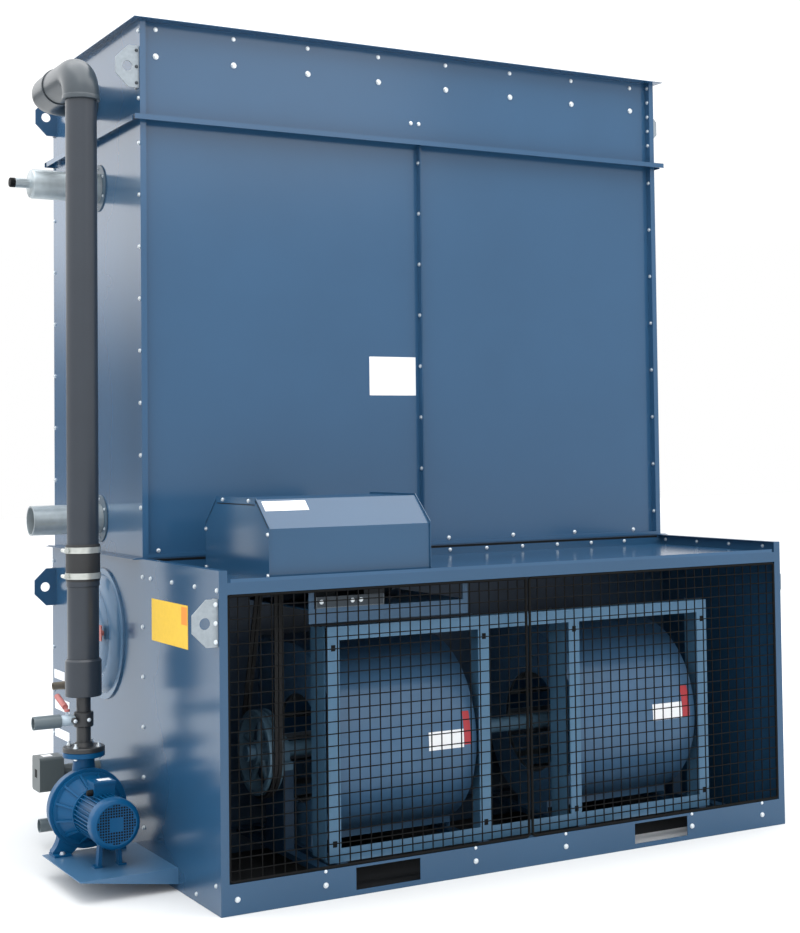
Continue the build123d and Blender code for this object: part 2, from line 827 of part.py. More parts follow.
# Spray section panels: the rim flange at the top and a lipped flange over the joint
spray_floor = spray_joint_height + sheet
rim = (unit_height - sheet, unit_height)
joint = (spray_joint_height, spray_floor)
lip = (spray_joint_height - spray_lip, spray_joint_height)
for side, node in ((-1, "spray_left_panel"), (1, "spray_right_panel")):
    with BuildPart() as spray_side:
        outer = side * casing_right
        inner = outer - side * sheet
        folded = outer - side * corner_return
        reach = outer + side * rim_reach
        lip_inner = reach - side * sheet
        block(sorted((outer, inner)), (casing_front, back), (spray_joint_height, unit_height))
        for y in (casing_front, back - sheet):
            block(sorted((outer, folded)), (y, y + sheet), (spray_floor, unit_height - sheet))
        for fold in (rim, joint):
            block(sorted((outer, reach)), (casing_front, back), fold)
        block(sorted((reach, lip_inner)), (casing_front, back), lip)
    finish(spray_side, node)

for facing, node in ((1, "spray_front_panel"), (-1, "spray_rear_panel")):
    with BuildPart() as spray_pan:
        rim_y = casing_middle - facing * (casing_middle - casing_front)
        wall_y = rim_y + facing * pan_depth
        reach_y = rim_y - facing * rim_reach
        lip_y = reach_y + facing * sheet
        wide = (casing_left - rim_reach, casing_right + rim_reach)
        narrow = (pan_left, -pan_left)
        block(narrow, sorted((wall_y, wall_y + facing * sheet)), (spray_joint_height, unit_height))
        for x in (pan_left, -pan_left - sheet):
            block((x, x + sheet), sorted((rim_y, wall_y)), (spray_joint_height, unit_height))
        for fold in (rim, joint):
            block(narrow, sorted((reach_y, wall_y)), fold)
            block(wide, sorted((reach_y, rim_y)), fold)
        block(wide, sorted((reach_y, lip_y)), lip)
    finish(spray_pan, node)

# Drift eliminators: sloping blades on two cross rails in the discharge opening
with BuildPart() as drift_eliminators:
    blade_front = casing_front + pan_depth + sheet + eliminator_end_gap
    blade_back = 2 * casing_middle - blade_front
    opening = casing_right - sheet
    blade_places = int(2 * (opening - eliminator_pitch) / eliminator_pitch)
    lean = Plane(
        origin=(0, casing_middle, eliminator_bottom + eliminator_height / 2),
        x_dir=(1, 0, 0),
        z_dir=(0, 1, 0),
    )
    blade_length = eliminator_height / cos(radians(eliminator_tilt))
    with BuildSketch(lean):
        with GridLocations(eliminator_pitch, 1, blade_places, 1):
            Rectangle(eliminator_blade, blade_length, rotation=eliminator_tilt)
    extrude(amount=(blade_back - blade_front) / 2, both=True)
    rail_low = eliminator_bottom - eliminator_rail_height / 2
    for y in (blade_front, casing_middle - eliminator_rail_width / 2, blade_back - eliminator_rail_width):
        block(
            (-opening, opening),
            (y, y + eliminator_rail_width),
            (rail_low, rail_low + eliminator_rail_height),
        )
finish(drift_eliminators, "drift_eliminators")


def lug(side, wall, y, z):
    """A lifting lug: an eight-sided ear with a hole, folded along the wall that it is bolted to."""
    low = z - lug_height / 2
    high = z + lug_height / 2
    tip = wall + side * lug_reach
    corner = tip - side * lug_chamfer
    with BuildSketch(Plane.XZ.offset(-y)) as ear:
        with BuildLine():
            Polyline(
                (wall, low),
                (corner, low),
                (tip, low + lug_chamfer),
                (tip, high - lug_chamfer),
                (corner, high),
                (wall, high),
                close=True,
            )
        make_face()
        with Locations((wall + side * lug_hole_offset, z)):
            Circle(lug_hole_radius, mode=Mode.SUBTRACT)
    extrude(ear.sketch, amount=-lug_thickness)
    block(sorted((wall, wall + side * lug_thickness)), (y, y + lug_tab), (low, high))


for node, half_width, first_y, z in (
    ("upper_lifting_lugs", casing_right, casing_front, upper_lug_z),
    ("lower_lifting_lugs", right, front, lower_lug_z),
):
    with BuildPart() as lifting_lugs:
        rear_y = back - lug_edge_gap - lug_tab
        lug(-1, -half_width, first_y + lug_edge_gap, z)
        lug(-1, -half_width, rear_y, z)
        lug(1, half_width, first_y + lug_right_setback, z)
        lug(1, half_width, rear_y, z)
    finish(lifting_lugs, node)

# Refrigerant connections: steel stubs, the upper one capped with a purge nipple
coil_pipe_end = casing_left - coil_pipe_reach
with BuildPart() as refrigerant_inlet:
    rod(across(coil_pipe_end), (coil_pipe_y, inlet_pipe_z), coil_pipe_radius, coil_pipe_reach, sides=pipe_facets)
    rod(
        across(coil_pipe_end - purge_nipple_length),
        (coil_pipe_y, inlet_pipe_z),
        purge_nipple_radius,
        purge_nipple_length,
    )
finish(refrigerant_inlet, "refrigerant_inlet")

with BuildPart() as refrigerant_outlet:
    rod(across(coil_pipe_end), (coil_pipe_y, outlet_pipe_z), coil_pipe_radius, coil_pipe_reach, sides=pipe_facets)
    rod(
        across(coil_pipe_end),
        (coil_pipe_y, outlet_pipe_z),
        coil_pipe_radius - coil_pipe_wall,
        coil_pipe_reach - sheet,
        mode=Mode.SUBTRACT,
    )
finish(refrigerant_outlet, "refrigerant_outlet")

with BuildPart() as pipe_collars:
    collar_plane = across(casing_left - collar_thickness)
    for z in (inlet_pipe_z, outlet_pipe_z):
        rod(collar_plane, (coil_pipe_y, z), collar_radius, collar_thickness, sides=pipe_facets)
        rod(
            collar_plane,
            (coil_pipe_y, z),
            coil_pipe_radius + pipe_seat_gap,
            collar_thickness,
            mode=Mode.SUBTRACT,
            sides=pipe_facets,
        )
finish(pipe_collars, "pipe_collars")

# Spray riser: a straight pipe and two elbows that turn it to the back and then into the spray section
with BuildPart() as riser_pipe:
    rod(level(reducer_top), (riser_x, riser_y), riser_radius, elbow_bottom - reducer_top, sides=pipe_facets)
    path = [(riser_x, riser_y, elbow_bottom)]
    for step in range(elbow_cuts + 1):
        turn = radians(90.0 / elbow_cuts * step)
        path.append((riser_x, riser_y + elbow_bend * (1 - cos(turn)), header_z - elbow_bend * (1 - sin(turn))))
    for step in range(elbow_cuts + 1):
        turn = radians(90.0 / elbow_cuts * step)
        path.append((riser_x + elbow_bend * (1 - cos(turn)), casing_middle - elbow_bend * (1 - sin(turn)), header_z))
    path.append((casing_left, casing_middle, header_z))
    with BuildLine() as elbow_path:
        Polyline(*path)
    with BuildSketch(Plane(origin=(riser_x, riser_y, elbow_bottom), z_dir=(0, 0, 1))):
        RegularPolygon(elbow_radius, pipe_facets)
    sweep(transition=Transition.RIGHT)
    rod(level(elbow_bottom), (riser_x, riser_y), socket_radius, socket_length, sides=pipe_facets)
    leg_start = riser_y + elbow_bend
    rod(along(leg_start), (-riser_x, header_z), socket_radius, socket_length, sides=pipe_facets)
    wall_socket = across(casing_left - socket_length)
    rod(wall_socket, (casing_middle, header_z), socket_radius, socket_length, sides=pipe_facets)
finish(riser_pipe, "riser_pipe")

# Rubber sleeve on the riser and its two hose clamps
coupling_inner = riser_radius + pipe_seat_gap
coupling_outer = coupling_inner + coupling_wall
with BuildPart() as rubber_coupling:
    sleeve = coupling_top - coupling_bottom
    rod(level(coupling_bottom), (riser_x, riser_y), coupling_outer, sleeve, sides=pipe_facets)
    rod(level(coupling_bottom), (riser_x, riser_y), coupling_inner, sleeve, Mode.SUBTRACT, pipe_facets)
finish(rubber_coupling, "rubber_coupling")

with BuildPart() as hose_clamps:
    clamp_inner = coupling_outer + pipe_seat_gap
    for z in (coupling_bottom + clamp_edge_gap, coupling_top - clamp_edge_gap - clamp_height):
        with BuildSketch(level(z)):
            with Locations((riser_x, riser_y)):
                RegularPolygon(clamp_inner + clamp_wall, clamp_facets, major_radius=False)
                RegularPolygon(clamp_inner, clamp_facets, major_radius=False, mode=Mode.SUBTRACT)
        extrude(amount=clamp_height)
finish(hose_clamps, "hose_clamps")

# Reducer socket at the foot of the riser
with BuildPart() as pipe_reducer:
    rod(level(reducer_bottom), (riser_x, riser_y), reducer_radius, reducer_top - reducer_bottom, sides=pipe_facets)
finish(pipe_reducer, "pipe_reducer")

# Pump outlet: the narrow pipe and its flange
outlet_flange_bottom = outlet_flange_top - outlet_flange_thickness
with BuildPart() as pump_outlet:
    outlet_plane = level(outlet_flange_bottom)
    outlet_rise = reducer_bottom - outlet_flange_bottom
    rod(outlet_plane, (riser_x, riser_y), outlet_pipe_radius, outlet_rise, sides=pipe_facets)
    rod(outlet_plane, (riser_x, riser_y), pump_flange_radius, outlet_flange_thickness, sides=pipe_facets)
finish(pump_outlet, "pump_outlet")

# Bleed valve: a saddle on the outlet pipe, a ball valve body and its stem
saddle_radius = outlet_pipe_radius + pipe_seat_gap + saddle_wall
valve_end = riser_x - saddle_radius - valve_length
stem_x = riser_x - saddle_radius - valve_length / 2
stem_top = bleed_z + valve_radius + stem_height
with BuildPart() as bleed_valve:
    saddle_plane = level(bleed_z - saddle_height / 2)
    rod(saddle_plane, (riser_x, riser_y), saddle_radius, saddle_height, sides=pipe_facets)
    rod(across(valve_end), (riser_y, bleed_z), valve_radius, riser_x - valve_end, sides=casting_facets)
    rod(level(bleed_z), (stem_x, riser_y), stem_radius, stem_top - bleed_z)
    saddle_inner = outlet_pipe_radius + pipe_seat_gap
    rod(saddle_plane, (riser_x, riser_y), saddle_inner, saddle_height, Mode.SUBTRACT, pipe_facets)
finish(bleed_valve, "bleed_valve")

# Bleed pipe beyond the valve
with BuildPart() as bleed_pipe:
    bleed_length = valve_end - bleed_pipe_end
    rod(across(bleed_pipe_end), (riser_y, bleed_z), bleed_pipe_radius, bleed_length, sides=pipe_facets)
    rod(
        across(bleed_pipe_end),
        (riser_y, bleed_z),
        bleed_pipe_radius - bleed_pipe_wall,
        bleed_length - bleed_pipe_wall,
        mode=Mode.SUBTRACT,
    )
finish(bleed_pipe, "bleed_pipe")

# Lever of the bleed valve: a cranked strip that turns on the stem
lever_low = stem_top - lever_thickness - stem_radius
with BuildPart() as valve_lever:
    boss_height = lever_thickness + stem_radius
    rod(level(lever_low), (stem_x, riser_y), lever_boss_radius, boss_height, sides=casting_facets)
    crank = riser_y + lever_boss_radius + lever_rise
    lever_tip = riser_y + lever_length
    with BuildSketch(across(stem_x - lever_width / 2)):
        with BuildLine():
            Polyline(
                (riser_y, lever_low),
                (riser_y + lever_boss_radius, lever_low),
                (crank, lever_low + lever_rise),
                (lever_tip, lever_low + lever_rise),
                (lever_tip, lever_low + lever_rise + lever_thickness),
                (crank - lever_thickness / 2, lever_low + lever_rise + lever_thickness),
                (riser_y + lever_boss_radius - lever_thickness / 2, lever_low + lever_thickness),
                (riser_y, lever_low + lever_thickness),
                close=True,
            )
        make_face()
    extrude(amount=lever_width)
    rod(level(lever_low), (stem_x, riser_y), stem_radius + shaft_running_gap, boss_height, Mode.SUBTRACT)
finish(valve_lever, "valve_lever")

# Pump shelf: a tray bracket whose gussets taper to the outer edge
with BuildPart() as pump_shelf:
    shelf_outer = left - shelf_reach
    block((shelf_outer, left), (shelf_front, shelf_back), (shelf_top - shelf_sheet, shelf_top))
    block((left - shelf_sheet, left), (shelf_front, shelf_back), (shelf_top - shelf_lip, shelf_top))
    for y in (shelf_front, shelf_back - shelf_sheet):
        with BuildSketch(Plane.XZ.offset(-y)):
            with BuildLine():
                Polyline(
                    (shelf_outer, shelf_top),
                    (left, shelf_top),
                    (left, shelf_top - shelf_lip),
                    (shelf_outer, shelf_top - shelf_sheet),
                    close=True,
                )
            make_face()
        extrude(amount=-shelf_sheet)
finish(pump_shelf, "pump_shelf")

# Pump casing: volute, outlet neck with flange, suction neck with flange, foot
pump_flange_top = outlet_flange_bottom
suction_face = volute_back + suction_neck_length
with BuildPart() as pump_casing:
    volute_depth = volute_back - volute_front
    volute_plane = Plane(origin=(riser_x, volute_front, pump_axis_z), x_dir=(-1, 0, 0), z_dir=(0, 1, 0))
    volute_edge = volute_depth / 3
    turned(
        volute_plane,
        [(0, volute_radius), (volute_depth - volute_edge, volute_radius), (volute_depth, volute_radius - volute_edge)],
        casting_facets,
    )
    rod(volute_plane, (0, 0), cover_radius, cover_thickness, sides=casting_facets)
    neck_rise = pump_flange_top - pump_axis_z
    rod(level(pump_axis_z), (riser_x, riser_y), neck_radius, neck_rise, sides=casting_facets)
    flange_plane = level(pump_flange_top - pump_flange_thickness)
    rod(flange_plane, (riser_x, riser_y), pump_flange_radius, pump_flange_thickness, sides=pipe_facets)
    neck_reach = suction_face - volute_front
    rod(volute_plane, (0, 0), neck_radius, neck_reach, sides=casting_facets)
    suction_plane = volute_plane.offset(neck_reach - pump_flange_thickness)
    rod(suction_plane, (0, 0), pump_flange_radius, pump_flange_thickness, sides=pipe_facets)
    foot_y = (volute_front, volute_front + pump_foot_length)
    block(
        (riser_x - pump_foot_width / 2, riser_x + pump_foot_width / 2),
        foot_y,
        (shelf_top, shelf_top + pump_foot_thickness),
    )
    for side in (-1, 1):
        web_x = riser_x + side * (pump_foot_width / 2 - pump_web)
        block((web_x - pump_web / 2, web_x + pump_web / 2), foot_y, (shelf_top, pump_axis_z - volute_radius / 3))
finish(pump_casing, "pump_casing")

# Pump bracket: a ribbed cone between the volute cover and the motor
bracket_front = volute_front - bracket_length
with BuildPart() as pump_bracket:
    bracket_plane = Plane(origin=(riser_x, volute_front, pump_axis_z), x_dir=(1, 0, 0), z_dir=(0, -1, 0))
    rib_length = bracket_length - cover_thickness
    rod(bracket_plane, (0, 0), cover_radius - cover_thickness, cover_thickness, sides=casting_facets)
    cone_foot = cover_radius - 2 * cover_thickness
    cone_end = bracket_end_radius - bracket_rib_height
    turned(bracket_plane, [(cover_thickness, cone_foot), (bracket_length, cone_end)], casting_facets)
    end_plane = bracket_plane.offset(bracket_length - cover_thickness)
    rod(end_plane, (0, 0), bracket_end_radius, cover_thickness, sides=casting_facets)
    rib_foot = cover_radius - cover_thickness - sheet
    for turn in range(bracket_rib_count):
        angle = 360.0 / bracket_rib_count * turn
        rib_dir = (cos(radians(angle)), 0, sin(radians(angle)))
        rib_axis = Vector(*rib_dir).cross(Vector(0, -1, 0))
        rib_plane = Plane(origin=(riser_x, volute_front, pump_axis_z), x_dir=rib_dir, z_dir=rib_axis)
        with BuildSketch(rib_plane):
            with BuildLine():
                toward = -1 if rib_plane.y_dir.Y > 0 else 1
                Polyline(
                    (bracket_end_radius / 2, toward * cover_thickness / 2),
                    (rib_foot, toward * cover_thickness / 2),
                    (bracket_end_radius - sheet, toward * (bracket_length - cover_thickness / 2)),
                    (bracket_end_radius / 2, toward * (bracket_length - cover_thickness / 2)),
                    close=True,
                )
            make_face()
        extrude(amount=bracket_rib_thickness / 2, both=True)
finish(pump_bracket, "pump_bracket")

# Pump motor: finned body, fan cowl, terminal box and two legs
motor_front = bracket_front - motor_body_length
with BuildPart() as pump_motor:
    motor_plane = Plane(origin=(riser_x, bracket_front, pump_axis_z), x_dir=(1, 0, 0), z_dir=(0, -1, 0))
    with BuildSketch(motor_plane):
        RegularPolygon(motor_body_radius, motor_fin_count)
        with PolarLocations(motor_body_radius, motor_fin_count):
            Rectangle(2 * motor_fin_height, motor_fin_thickness)
    extrude(amount=motor_body_length)
    turned(
        motor_plane.offset(motor_body_length),
        [(0, cowl_radius), (cowl_length - cowl_round, cowl_radius), (cowl_length, cowl_radius - cowl_round)],
        pipe_facets,
    )
    terminal_y = bracket_front - motor_body_length / 2
    block(
        (riser_x - terminal_width / 2, riser_x + terminal_width / 2),
        (terminal_y - terminal_length / 2, terminal_y + terminal_length / 2),
        (pump_axis_z, pump_axis_z + motor_body_radius + terminal_height),
    )
    leg_y = motor_front + motor_leg_length
    for side in (-1, 1):
        leg_x = riser_x + side * motor_leg_spread
        block(
            (leg_x - motor_leg_width / 2, leg_x + motor_leg_width / 2),
            (leg_y - motor_leg_length / 2, leg_y + motor_leg_length / 2),
            (shelf_top, pump_axis_z),
        )
finish(pump_motor, "pump_motor")

# Suction pipe from the basin wall to the pump
with BuildPart() as suction_pipe:
    turn_y = suction_face + pump_flange_thickness + suction_bend
    with BuildLine() as suction_path:
        Polyline(
            (riser_x, suction_face, pump_axis_z),
            (riser_x, turn_y - suction_bend / 2, pump_axis_z),
            (riser_x + suction_bend / 2, turn_y, pump_axis_z),
            (left, turn_y, pump_axis_z),
        )
    with BuildSketch(Plane(origin=(riser_x, suction_face, pump_axis_z), z_dir=(0, 1, 0))):
        RegularPolygon(suction_radius, pipe_facets)
    sweep(transition=Transition.RIGHT)
    suction_flange = along(suction_face)
    rod(suction_flange, (-riser_x, pump_axis_z), pump_flange_radius, pump_flange_thickness, sides=pipe_facets)
finish(suction_pipe, "suction_pipe")

# Basin heater: a terminal box on a screwed neck
heater_end = left - heater_reach
with BuildPart() as basin_heater:
    block(
        (heater_end, heater_end + heater_box_length),
        (heater_y - heater_box_width / 2, heater_y + heater_box_width / 2),
        (heater_z - heater_box_height / 2, heater_z + heater_box_height / 2),
    )
    fillet(basin_heater.edges().filter_by(Axis.X), heater_box_width / 9)
    neck_start = heater_end + heater_box_length
    rod(across(neck_start), (heater_y, heater_z), heater_neck_radius, left - neck_start, sides=casting_facets)
finish(basin_heater, "basin_heater")

# Drain stub and make-up nipple on the basin wall
for node, y, z, reach, radius, wall in (
    ("drain_stub", heater_y, drain_z, drain_reach, drain_radius, drain_wall),
    ("makeup_nipple", makeup_y, makeup_z, makeup_reach, makeup_radius, makeup_wall),
):
    with BuildPart() as stub:
        rod(across(left - reach), (y, z), radius, reach, sides=pipe_facets)
        rod(across(left - reach), (y, z), radius - wall, reach - wall, mode=Mode.SUBTRACT)
    finish(stub, node)

# Round inspection hatch: a flat rim and a dished cover
with BuildPart() as inspection_hatch:
    hatch_plane = Plane(origin=(left, hatch_y, hatch_z), x_dir=(0, 1, 0), z_dir=(-1, 0, 0))
    dome_radius = hatch_radius - hatch_rim_width
    rod(hatch_plane, (0, 0), hatch_radius, hatch_rim_thickness, sides=pulley_facets)
    dish = [
        (0, dome_radius),
        (hatch_rim_thickness, dome_radius),
        (hatch_flank_height, dome_radius - hatch_flank_width),
        (hatch_dome_height, hatch_crown_radius),
    ]
    turned(hatch_plane, dish, pulley_facets)
finish(inspection_hatch, "inspection_hatch")
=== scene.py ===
import math

import bpy
import numpy as np
from mathutils import Matrix, Vector


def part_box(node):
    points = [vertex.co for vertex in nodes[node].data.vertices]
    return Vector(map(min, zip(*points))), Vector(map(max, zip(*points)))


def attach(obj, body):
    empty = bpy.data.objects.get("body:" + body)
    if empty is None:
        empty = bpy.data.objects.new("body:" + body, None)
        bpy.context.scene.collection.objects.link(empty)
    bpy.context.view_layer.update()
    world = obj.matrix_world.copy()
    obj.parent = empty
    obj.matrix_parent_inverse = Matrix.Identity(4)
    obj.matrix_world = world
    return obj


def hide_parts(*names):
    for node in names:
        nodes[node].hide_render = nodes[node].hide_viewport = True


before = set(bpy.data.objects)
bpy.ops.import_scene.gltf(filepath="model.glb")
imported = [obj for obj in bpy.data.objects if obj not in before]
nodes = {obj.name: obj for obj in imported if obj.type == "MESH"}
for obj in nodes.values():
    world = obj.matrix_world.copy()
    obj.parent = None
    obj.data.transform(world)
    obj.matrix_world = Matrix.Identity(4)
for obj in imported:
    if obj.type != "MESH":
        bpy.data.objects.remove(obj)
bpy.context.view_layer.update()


# Casing: steel sheet, folded into flanged pans and bolted together round the coil and the sprays.
# Every outer panel has the same slate-blue stoved enamel, and the sheets are slightly wavy.
# The pump's shelf is bent from one sheet and bolted to the wall.
def linear(code):
    """Turns a colour code of red, green and blue bytes into linear light: the usual screen curve, undone."""
    channels = [int(code[i:i + 2], 16) / 255 for i in (1, 3, 5)]
    return tuple(c / 12.92 if c <= 0.04045 else ((c + 0.055) / 1.055) ** 2.4 for c in channels) + (1.0,)


def add_node(tree, kind, **values):
    """Adds one shader node and sets its inputs by name; a value that is a socket is linked."""
    made = tree.nodes.new(kind)
    for name, value in values.items():
        socket = made.inputs[name.replace("_", " ")]
        if isinstance(value, bpy.types.NodeSocket):
            tree.links.new(value, socket)
        else:
            socket.default_value = value
    return made


def surface(name, colour, roughness, metallic=0.0, grain=0.0, grain_mm=25.0, wave=0.0, wave_mm=450.0, shine=0.5):
    """One finish: a base colour, mottled by noise where grain is set, on a skin that noise bends where wave is set."""
    material = bpy.data.materials.new(name)
    material.use_nodes = True
    tree = material.node_tree
    shader = tree.nodes["Principled BSDF"]
    shader.inputs["Roughness"].default_value = roughness
    shader.inputs["Metallic"].default_value = metallic
    shader.inputs["Specular IOR Level"].default_value = shine
    shader.inputs["Base Color"].default_value = linear(colour)
    place = add_node(tree, "ShaderNodeTexCoord").outputs["Object"]
    if grain:
        spots = add_node(tree, "ShaderNodeTexNoise", Vector=place, Scale=1000.0 / grain_mm, Detail=4.0)
        ramp = add_node(tree, "ShaderNodeValToRGB", Fac=spots.outputs["Fac"])
        base = np.array(linear(colour)[:3])
        ramp.color_ramp.elements[0].position = 0.3
        ramp.color_ramp.elements[0].color = tuple(base * (1 - grain)) + (1,)
        ramp.color_ramp.elements[1].position = 0.7
        ramp.color_ramp.elements[1].color = tuple(np.minimum(base * (1 + grain), 1)) + (1,)
        tree.links.new(ramp.outputs["Color"], shader.inputs["Base Color"])
    if wave:
        skin_noise = add_node(tree, "ShaderNodeTexNoise", Vector=place, Scale=1000.0 / wave_mm, Detail=1.0)
        relief = add_node(
            tree, "ShaderNodeBump", Strength=wave, Distance=0.01, Height=skin_noise.outputs["Fac"],
        )
        tree.links.new(relief.outputs["Normal"], shader.inputs["Normal"])
    return material


def dress(material, *names):
    """Gives CAD nodes a finish."""
    for name in names:
        mesh = nodes[name].data
        mesh.materials.clear()
        mesh.materials.append(material)


# Stoved enamel: glossy enough to mirror the sky at a glancing look; its tone drifts over half a metre or so.
enamel = surface("casing enamel", "#294d6d", 0.18, grain=0.05, grain_mm=650, wave=0.03, wave_mm=600)
dress(
    enamel, "casing_left_panel", "casing_right_panel", "casing_front_panels", "casing_rear_panels",
    "spray_left_panel", "spray_right_panel", "spray_front_panel", "spray_rear_panel",
)
# The same enamel on the lower section, darkened to paint the shade that falls low on the unit.
enamel_painted_shade = surface("lower enamel, painted shade", "#244765", 0.18, grain=0.05, grain_mm=650, wave=0.03, wave_mm=600)
dress(
    enamel_painted_shade, "left_side_panel", "right_side_panel", "lower_rear_panel", "front_skirt", "skirt_folds", "fan_roof",
    "motor_hood",
)
# Enamel with a soft sheen, painted paler to stand in for the light that falls on the shelf.
dress(surface("shelf enamel, painted light", "#3c6283", 0.3), "pump_shelf")


# Casing bolts: zinc-plated hexagon bolts on washers, along every flange and edge.
# They hold the pans to each other and to the side sheets.
def skin(grid, closed=True, loop=False, caps=True):
    """A surface from a grid of points: four-sided faces between neighbouring rows and columns.

    A closed surface joins its last column to its first, a loop joins its last row to its first,
    and caps fill the first and the last row.
    """
    number = np.arange(grid.shape[0] * grid.shape[1]).reshape(grid.shape[:2])
    beside = np.roll(number, -1, axis=1)
    quads = np.stack((number, beside, np.roll(beside, -1, axis=0), np.roll(number, -1, axis=0)), axis=-1)
    quads = quads if loop else quads[:-1]
    quads = quads if closed else quads[:, :-1]
    ends = [number[0, ::-1], number[-1]] if caps else []
    return grid.reshape(-1, 3), quads.reshape(-1, 4), ends


def lathe(origin, axis, stations, sides=32, caps=True):
    """A turned shape: circles of each station's radius at its distance along the axis, joined by bands."""
    axis = np.asarray(axis, float) / np.linalg.norm(axis)
    helper = np.array((0.0, 0.0, 1.0)) if abs(axis[2]) < 0.9 else np.array((1.0, 0.0, 0.0))
    first = np.cross(helper, axis)
    first /= np.linalg.norm(first)
    second = np.cross(axis, first)
    turn = np.arange(sides) * 2 * np.pi / sides
    ring = np.cos(turn)[:, None] * first + np.sin(turn)[:, None] * second
    distance, radius = np.array(stations, float).T[:, :, None, None]
    return skin(np.asarray(origin) + distance * axis + radius * ring, caps=caps)


def piece(name, shapes, material, body="unit", smooth=True, stands_for=()):
    """Makes one mesh object from shapes, in the frame, that rides on a body; shallow edges are shaded smooth."""
    firsts = np.cumsum([0] + [len(points) for points, _, _ in shapes])
    points = np.concatenate([points for points, _, _ in shapes])
    faces = np.concatenate([quads + first for first, (_, quads, _) in zip(firsts, shapes)]).tolist()
    faces += [(end + first).tolist() for first, (_, _, ends) in zip(firsts, shapes) for end in ends]
    mesh = bpy.data.meshes.new(name)
    mesh.from_pydata(points.tolist(), [], faces)
    mesh.polygons.foreach_set("use_smooth", [smooth] * len(mesh.polygons))
    if smooth:
        mesh.set_sharp_from_angle(angle=math.radians(32))
    mesh.materials.append(material)
    made = bpy.data.objects.new(name, mesh)
    bpy.context.scene.collection.objects.link(made)
    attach(made, body)
    for node in stands_for:
        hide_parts(node)


def heads(places, out, radius):
    """Bolt heads: at each place a washer, then a narrower head with a bevelled top, along the outward direction."""
    outline = [(0, 1.0), (0.2, 1.0), (0.2, 0.78), (0.6, 0.78), (0.75, 0.55)]
    stations = np.array(outline) * radius
    return [lathe(place, out, stations, sides=10) for place in places]


def every(xs, ys, zs):
    """Every combination of the given x, y and z, as places."""
    return np.stack(np.meshgrid(xs, ys, zs), axis=-1).reshape(-1, 3)


to_front = (0, -1, 0)
to_back = (0, 1, 0)
to_left = (-1, 0, 0)
to_right = (1, 0, 0)
to_top = (0, 0, 1)
to_ground = (0, 0, -1)
sheet = 0.003
casing_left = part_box("pipe_collars")[1].x
casing_right = -casing_left
casing_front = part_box("casing_front_panels")[1].y - sheet
flange_y = (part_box("casing_front_panels")[0].y + casing_front) / 2
front_edge_y = -0.200
back_edge_y = 1.150
back_face = 1.152
back_corners = (-1.445, 1.445)
right_flange = 1.430
middle_flange = -0.004
splice_columns = (-0.035, 0.010)
spray_columns = np.linspace(-1.370, 1.325, 8)
foot_columns = np.linspace(-1.371, 1.301, 8)
foot_row = 1.412
splice_row = 3.500
spray_low_row = 3.690
spray_top_row = 3.815
flange_rows = np.linspace(1.507, 3.297, 8)
spray_flange_rows = np.linspace(3.504, 3.820, 5)
edge_rows = np.linspace(1.610, 3.278, 8)
back_edge_rows = np.linspace(1.45, 3.36, 8)
corner_rows = [*edge_rows, 3.484, 3.796]
bolt_radius = 0.0105
wide_bolt_radius = 0.0145
# Zinc plate: bright, with small sharp glints.
bolt_zinc = surface("bolt zinc", "#d3dadf", 0.28, metallic=0.75)
casing_bolts = heads(every(spray_columns, casing_front, spray_low_row), to_front, wide_bolt_radius)
casing_bolts += heads(every(spray_columns, casing_front, spray_top_row), to_front, bolt_radius)
casing_bolts += heads(every(splice_columns, casing_front, splice_row), to_front, bolt_radius)
casing_bolts += heads(every(foot_columns, casing_front, foot_row), to_front, bolt_radius)
casing_bolts += heads(every(right_flange, flange_y, spray_flange_rows), to_left, bolt_radius)
casing_bolts += heads(every((middle_flange, right_flange), flange_y, flange_rows), to_left, bolt_radius)
casing_bolts += heads(every(casing_left, front_edge_y, corner_rows), to_left, bolt_radius)
casing_bolts += heads(every(casing_left, back_edge_y, back_edge_rows), to_left, bolt_radius)
casing_bolts += heads(every(casing_right, (front_edge_y, back_edge_y), corner_rows), to_right, bolt_radius)
casing_bolts += heads(every(back_corners, back_face, edge_rows), to_back, bolt_radius)
piece("casing_bolts", casing_bolts, bolt_zinc)

# Lower section bolts: the same zinc-plated bolts, in rows along the side sheets, the skirt and the roof tray.
# Small ones above the skirt's bolts clamp the guards.
wall_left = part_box("drain_stub")[1].x
wall_right = -wall_left
skirt_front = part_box("front_skirt")[0].y
tray_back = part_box("fan_roof")[1].y - sheet
wall_edges = (-0.252, back_edge_y)
wall_rows = np.linspace(0.183, 1.301, 6)
eave_places = (-0.360, -0.629, -0.903, -1.150)
eave_row = 1.300
clamp_columns = (-1.010, -0.290, 0.181, 0.896, 1.325)
clamp_row = 0.1185
skirt_columns = (-1.400, *clamp_columns)
skirt_row = 0.062
base_bolts = [(wall_left, -1.120, 0.115), (wall_left, -0.900, 0.035)]
tray_columns = np.arange(-1.360, 1.37, 0.2144)
tray_row = 1.354
tray_right = 1.464
tray_places = (-0.253, -0.523, -0.786, -1.05)
skirt_bolt_radius = 0.012
small_bolt_radius = 0.0095
clamp_bolt_radius = 0.0075
lower_bolts = heads(every(wall_left, wall_edges, wall_rows), to_left, bolt_radius)
lower_bolts += heads(every(wall_left, eave_places, eave_row), to_left, bolt_radius)
lower_bolts += heads(every(wall_right, wall_edges, wall_rows), to_right, bolt_radius)
lower_bolts += heads(every(skirt_columns, skirt_front, skirt_row), to_front, skirt_bolt_radius)
lower_bolts += heads(every(clamp_columns, skirt_front, clamp_row), to_front, clamp_bolt_radius)
lower_bolts += heads(base_bolts, to_left, small_bolt_radius)
lower_bolts += heads(every(tray_columns, tray_back, tray_row), to_front, small_bolt_radius)
lower_bolts += heads(every(tray_right, tray_places, tray_row), to_left, small_bolt_radius)
piece("lower_bolts", lower_bolts, bolt_zinc)
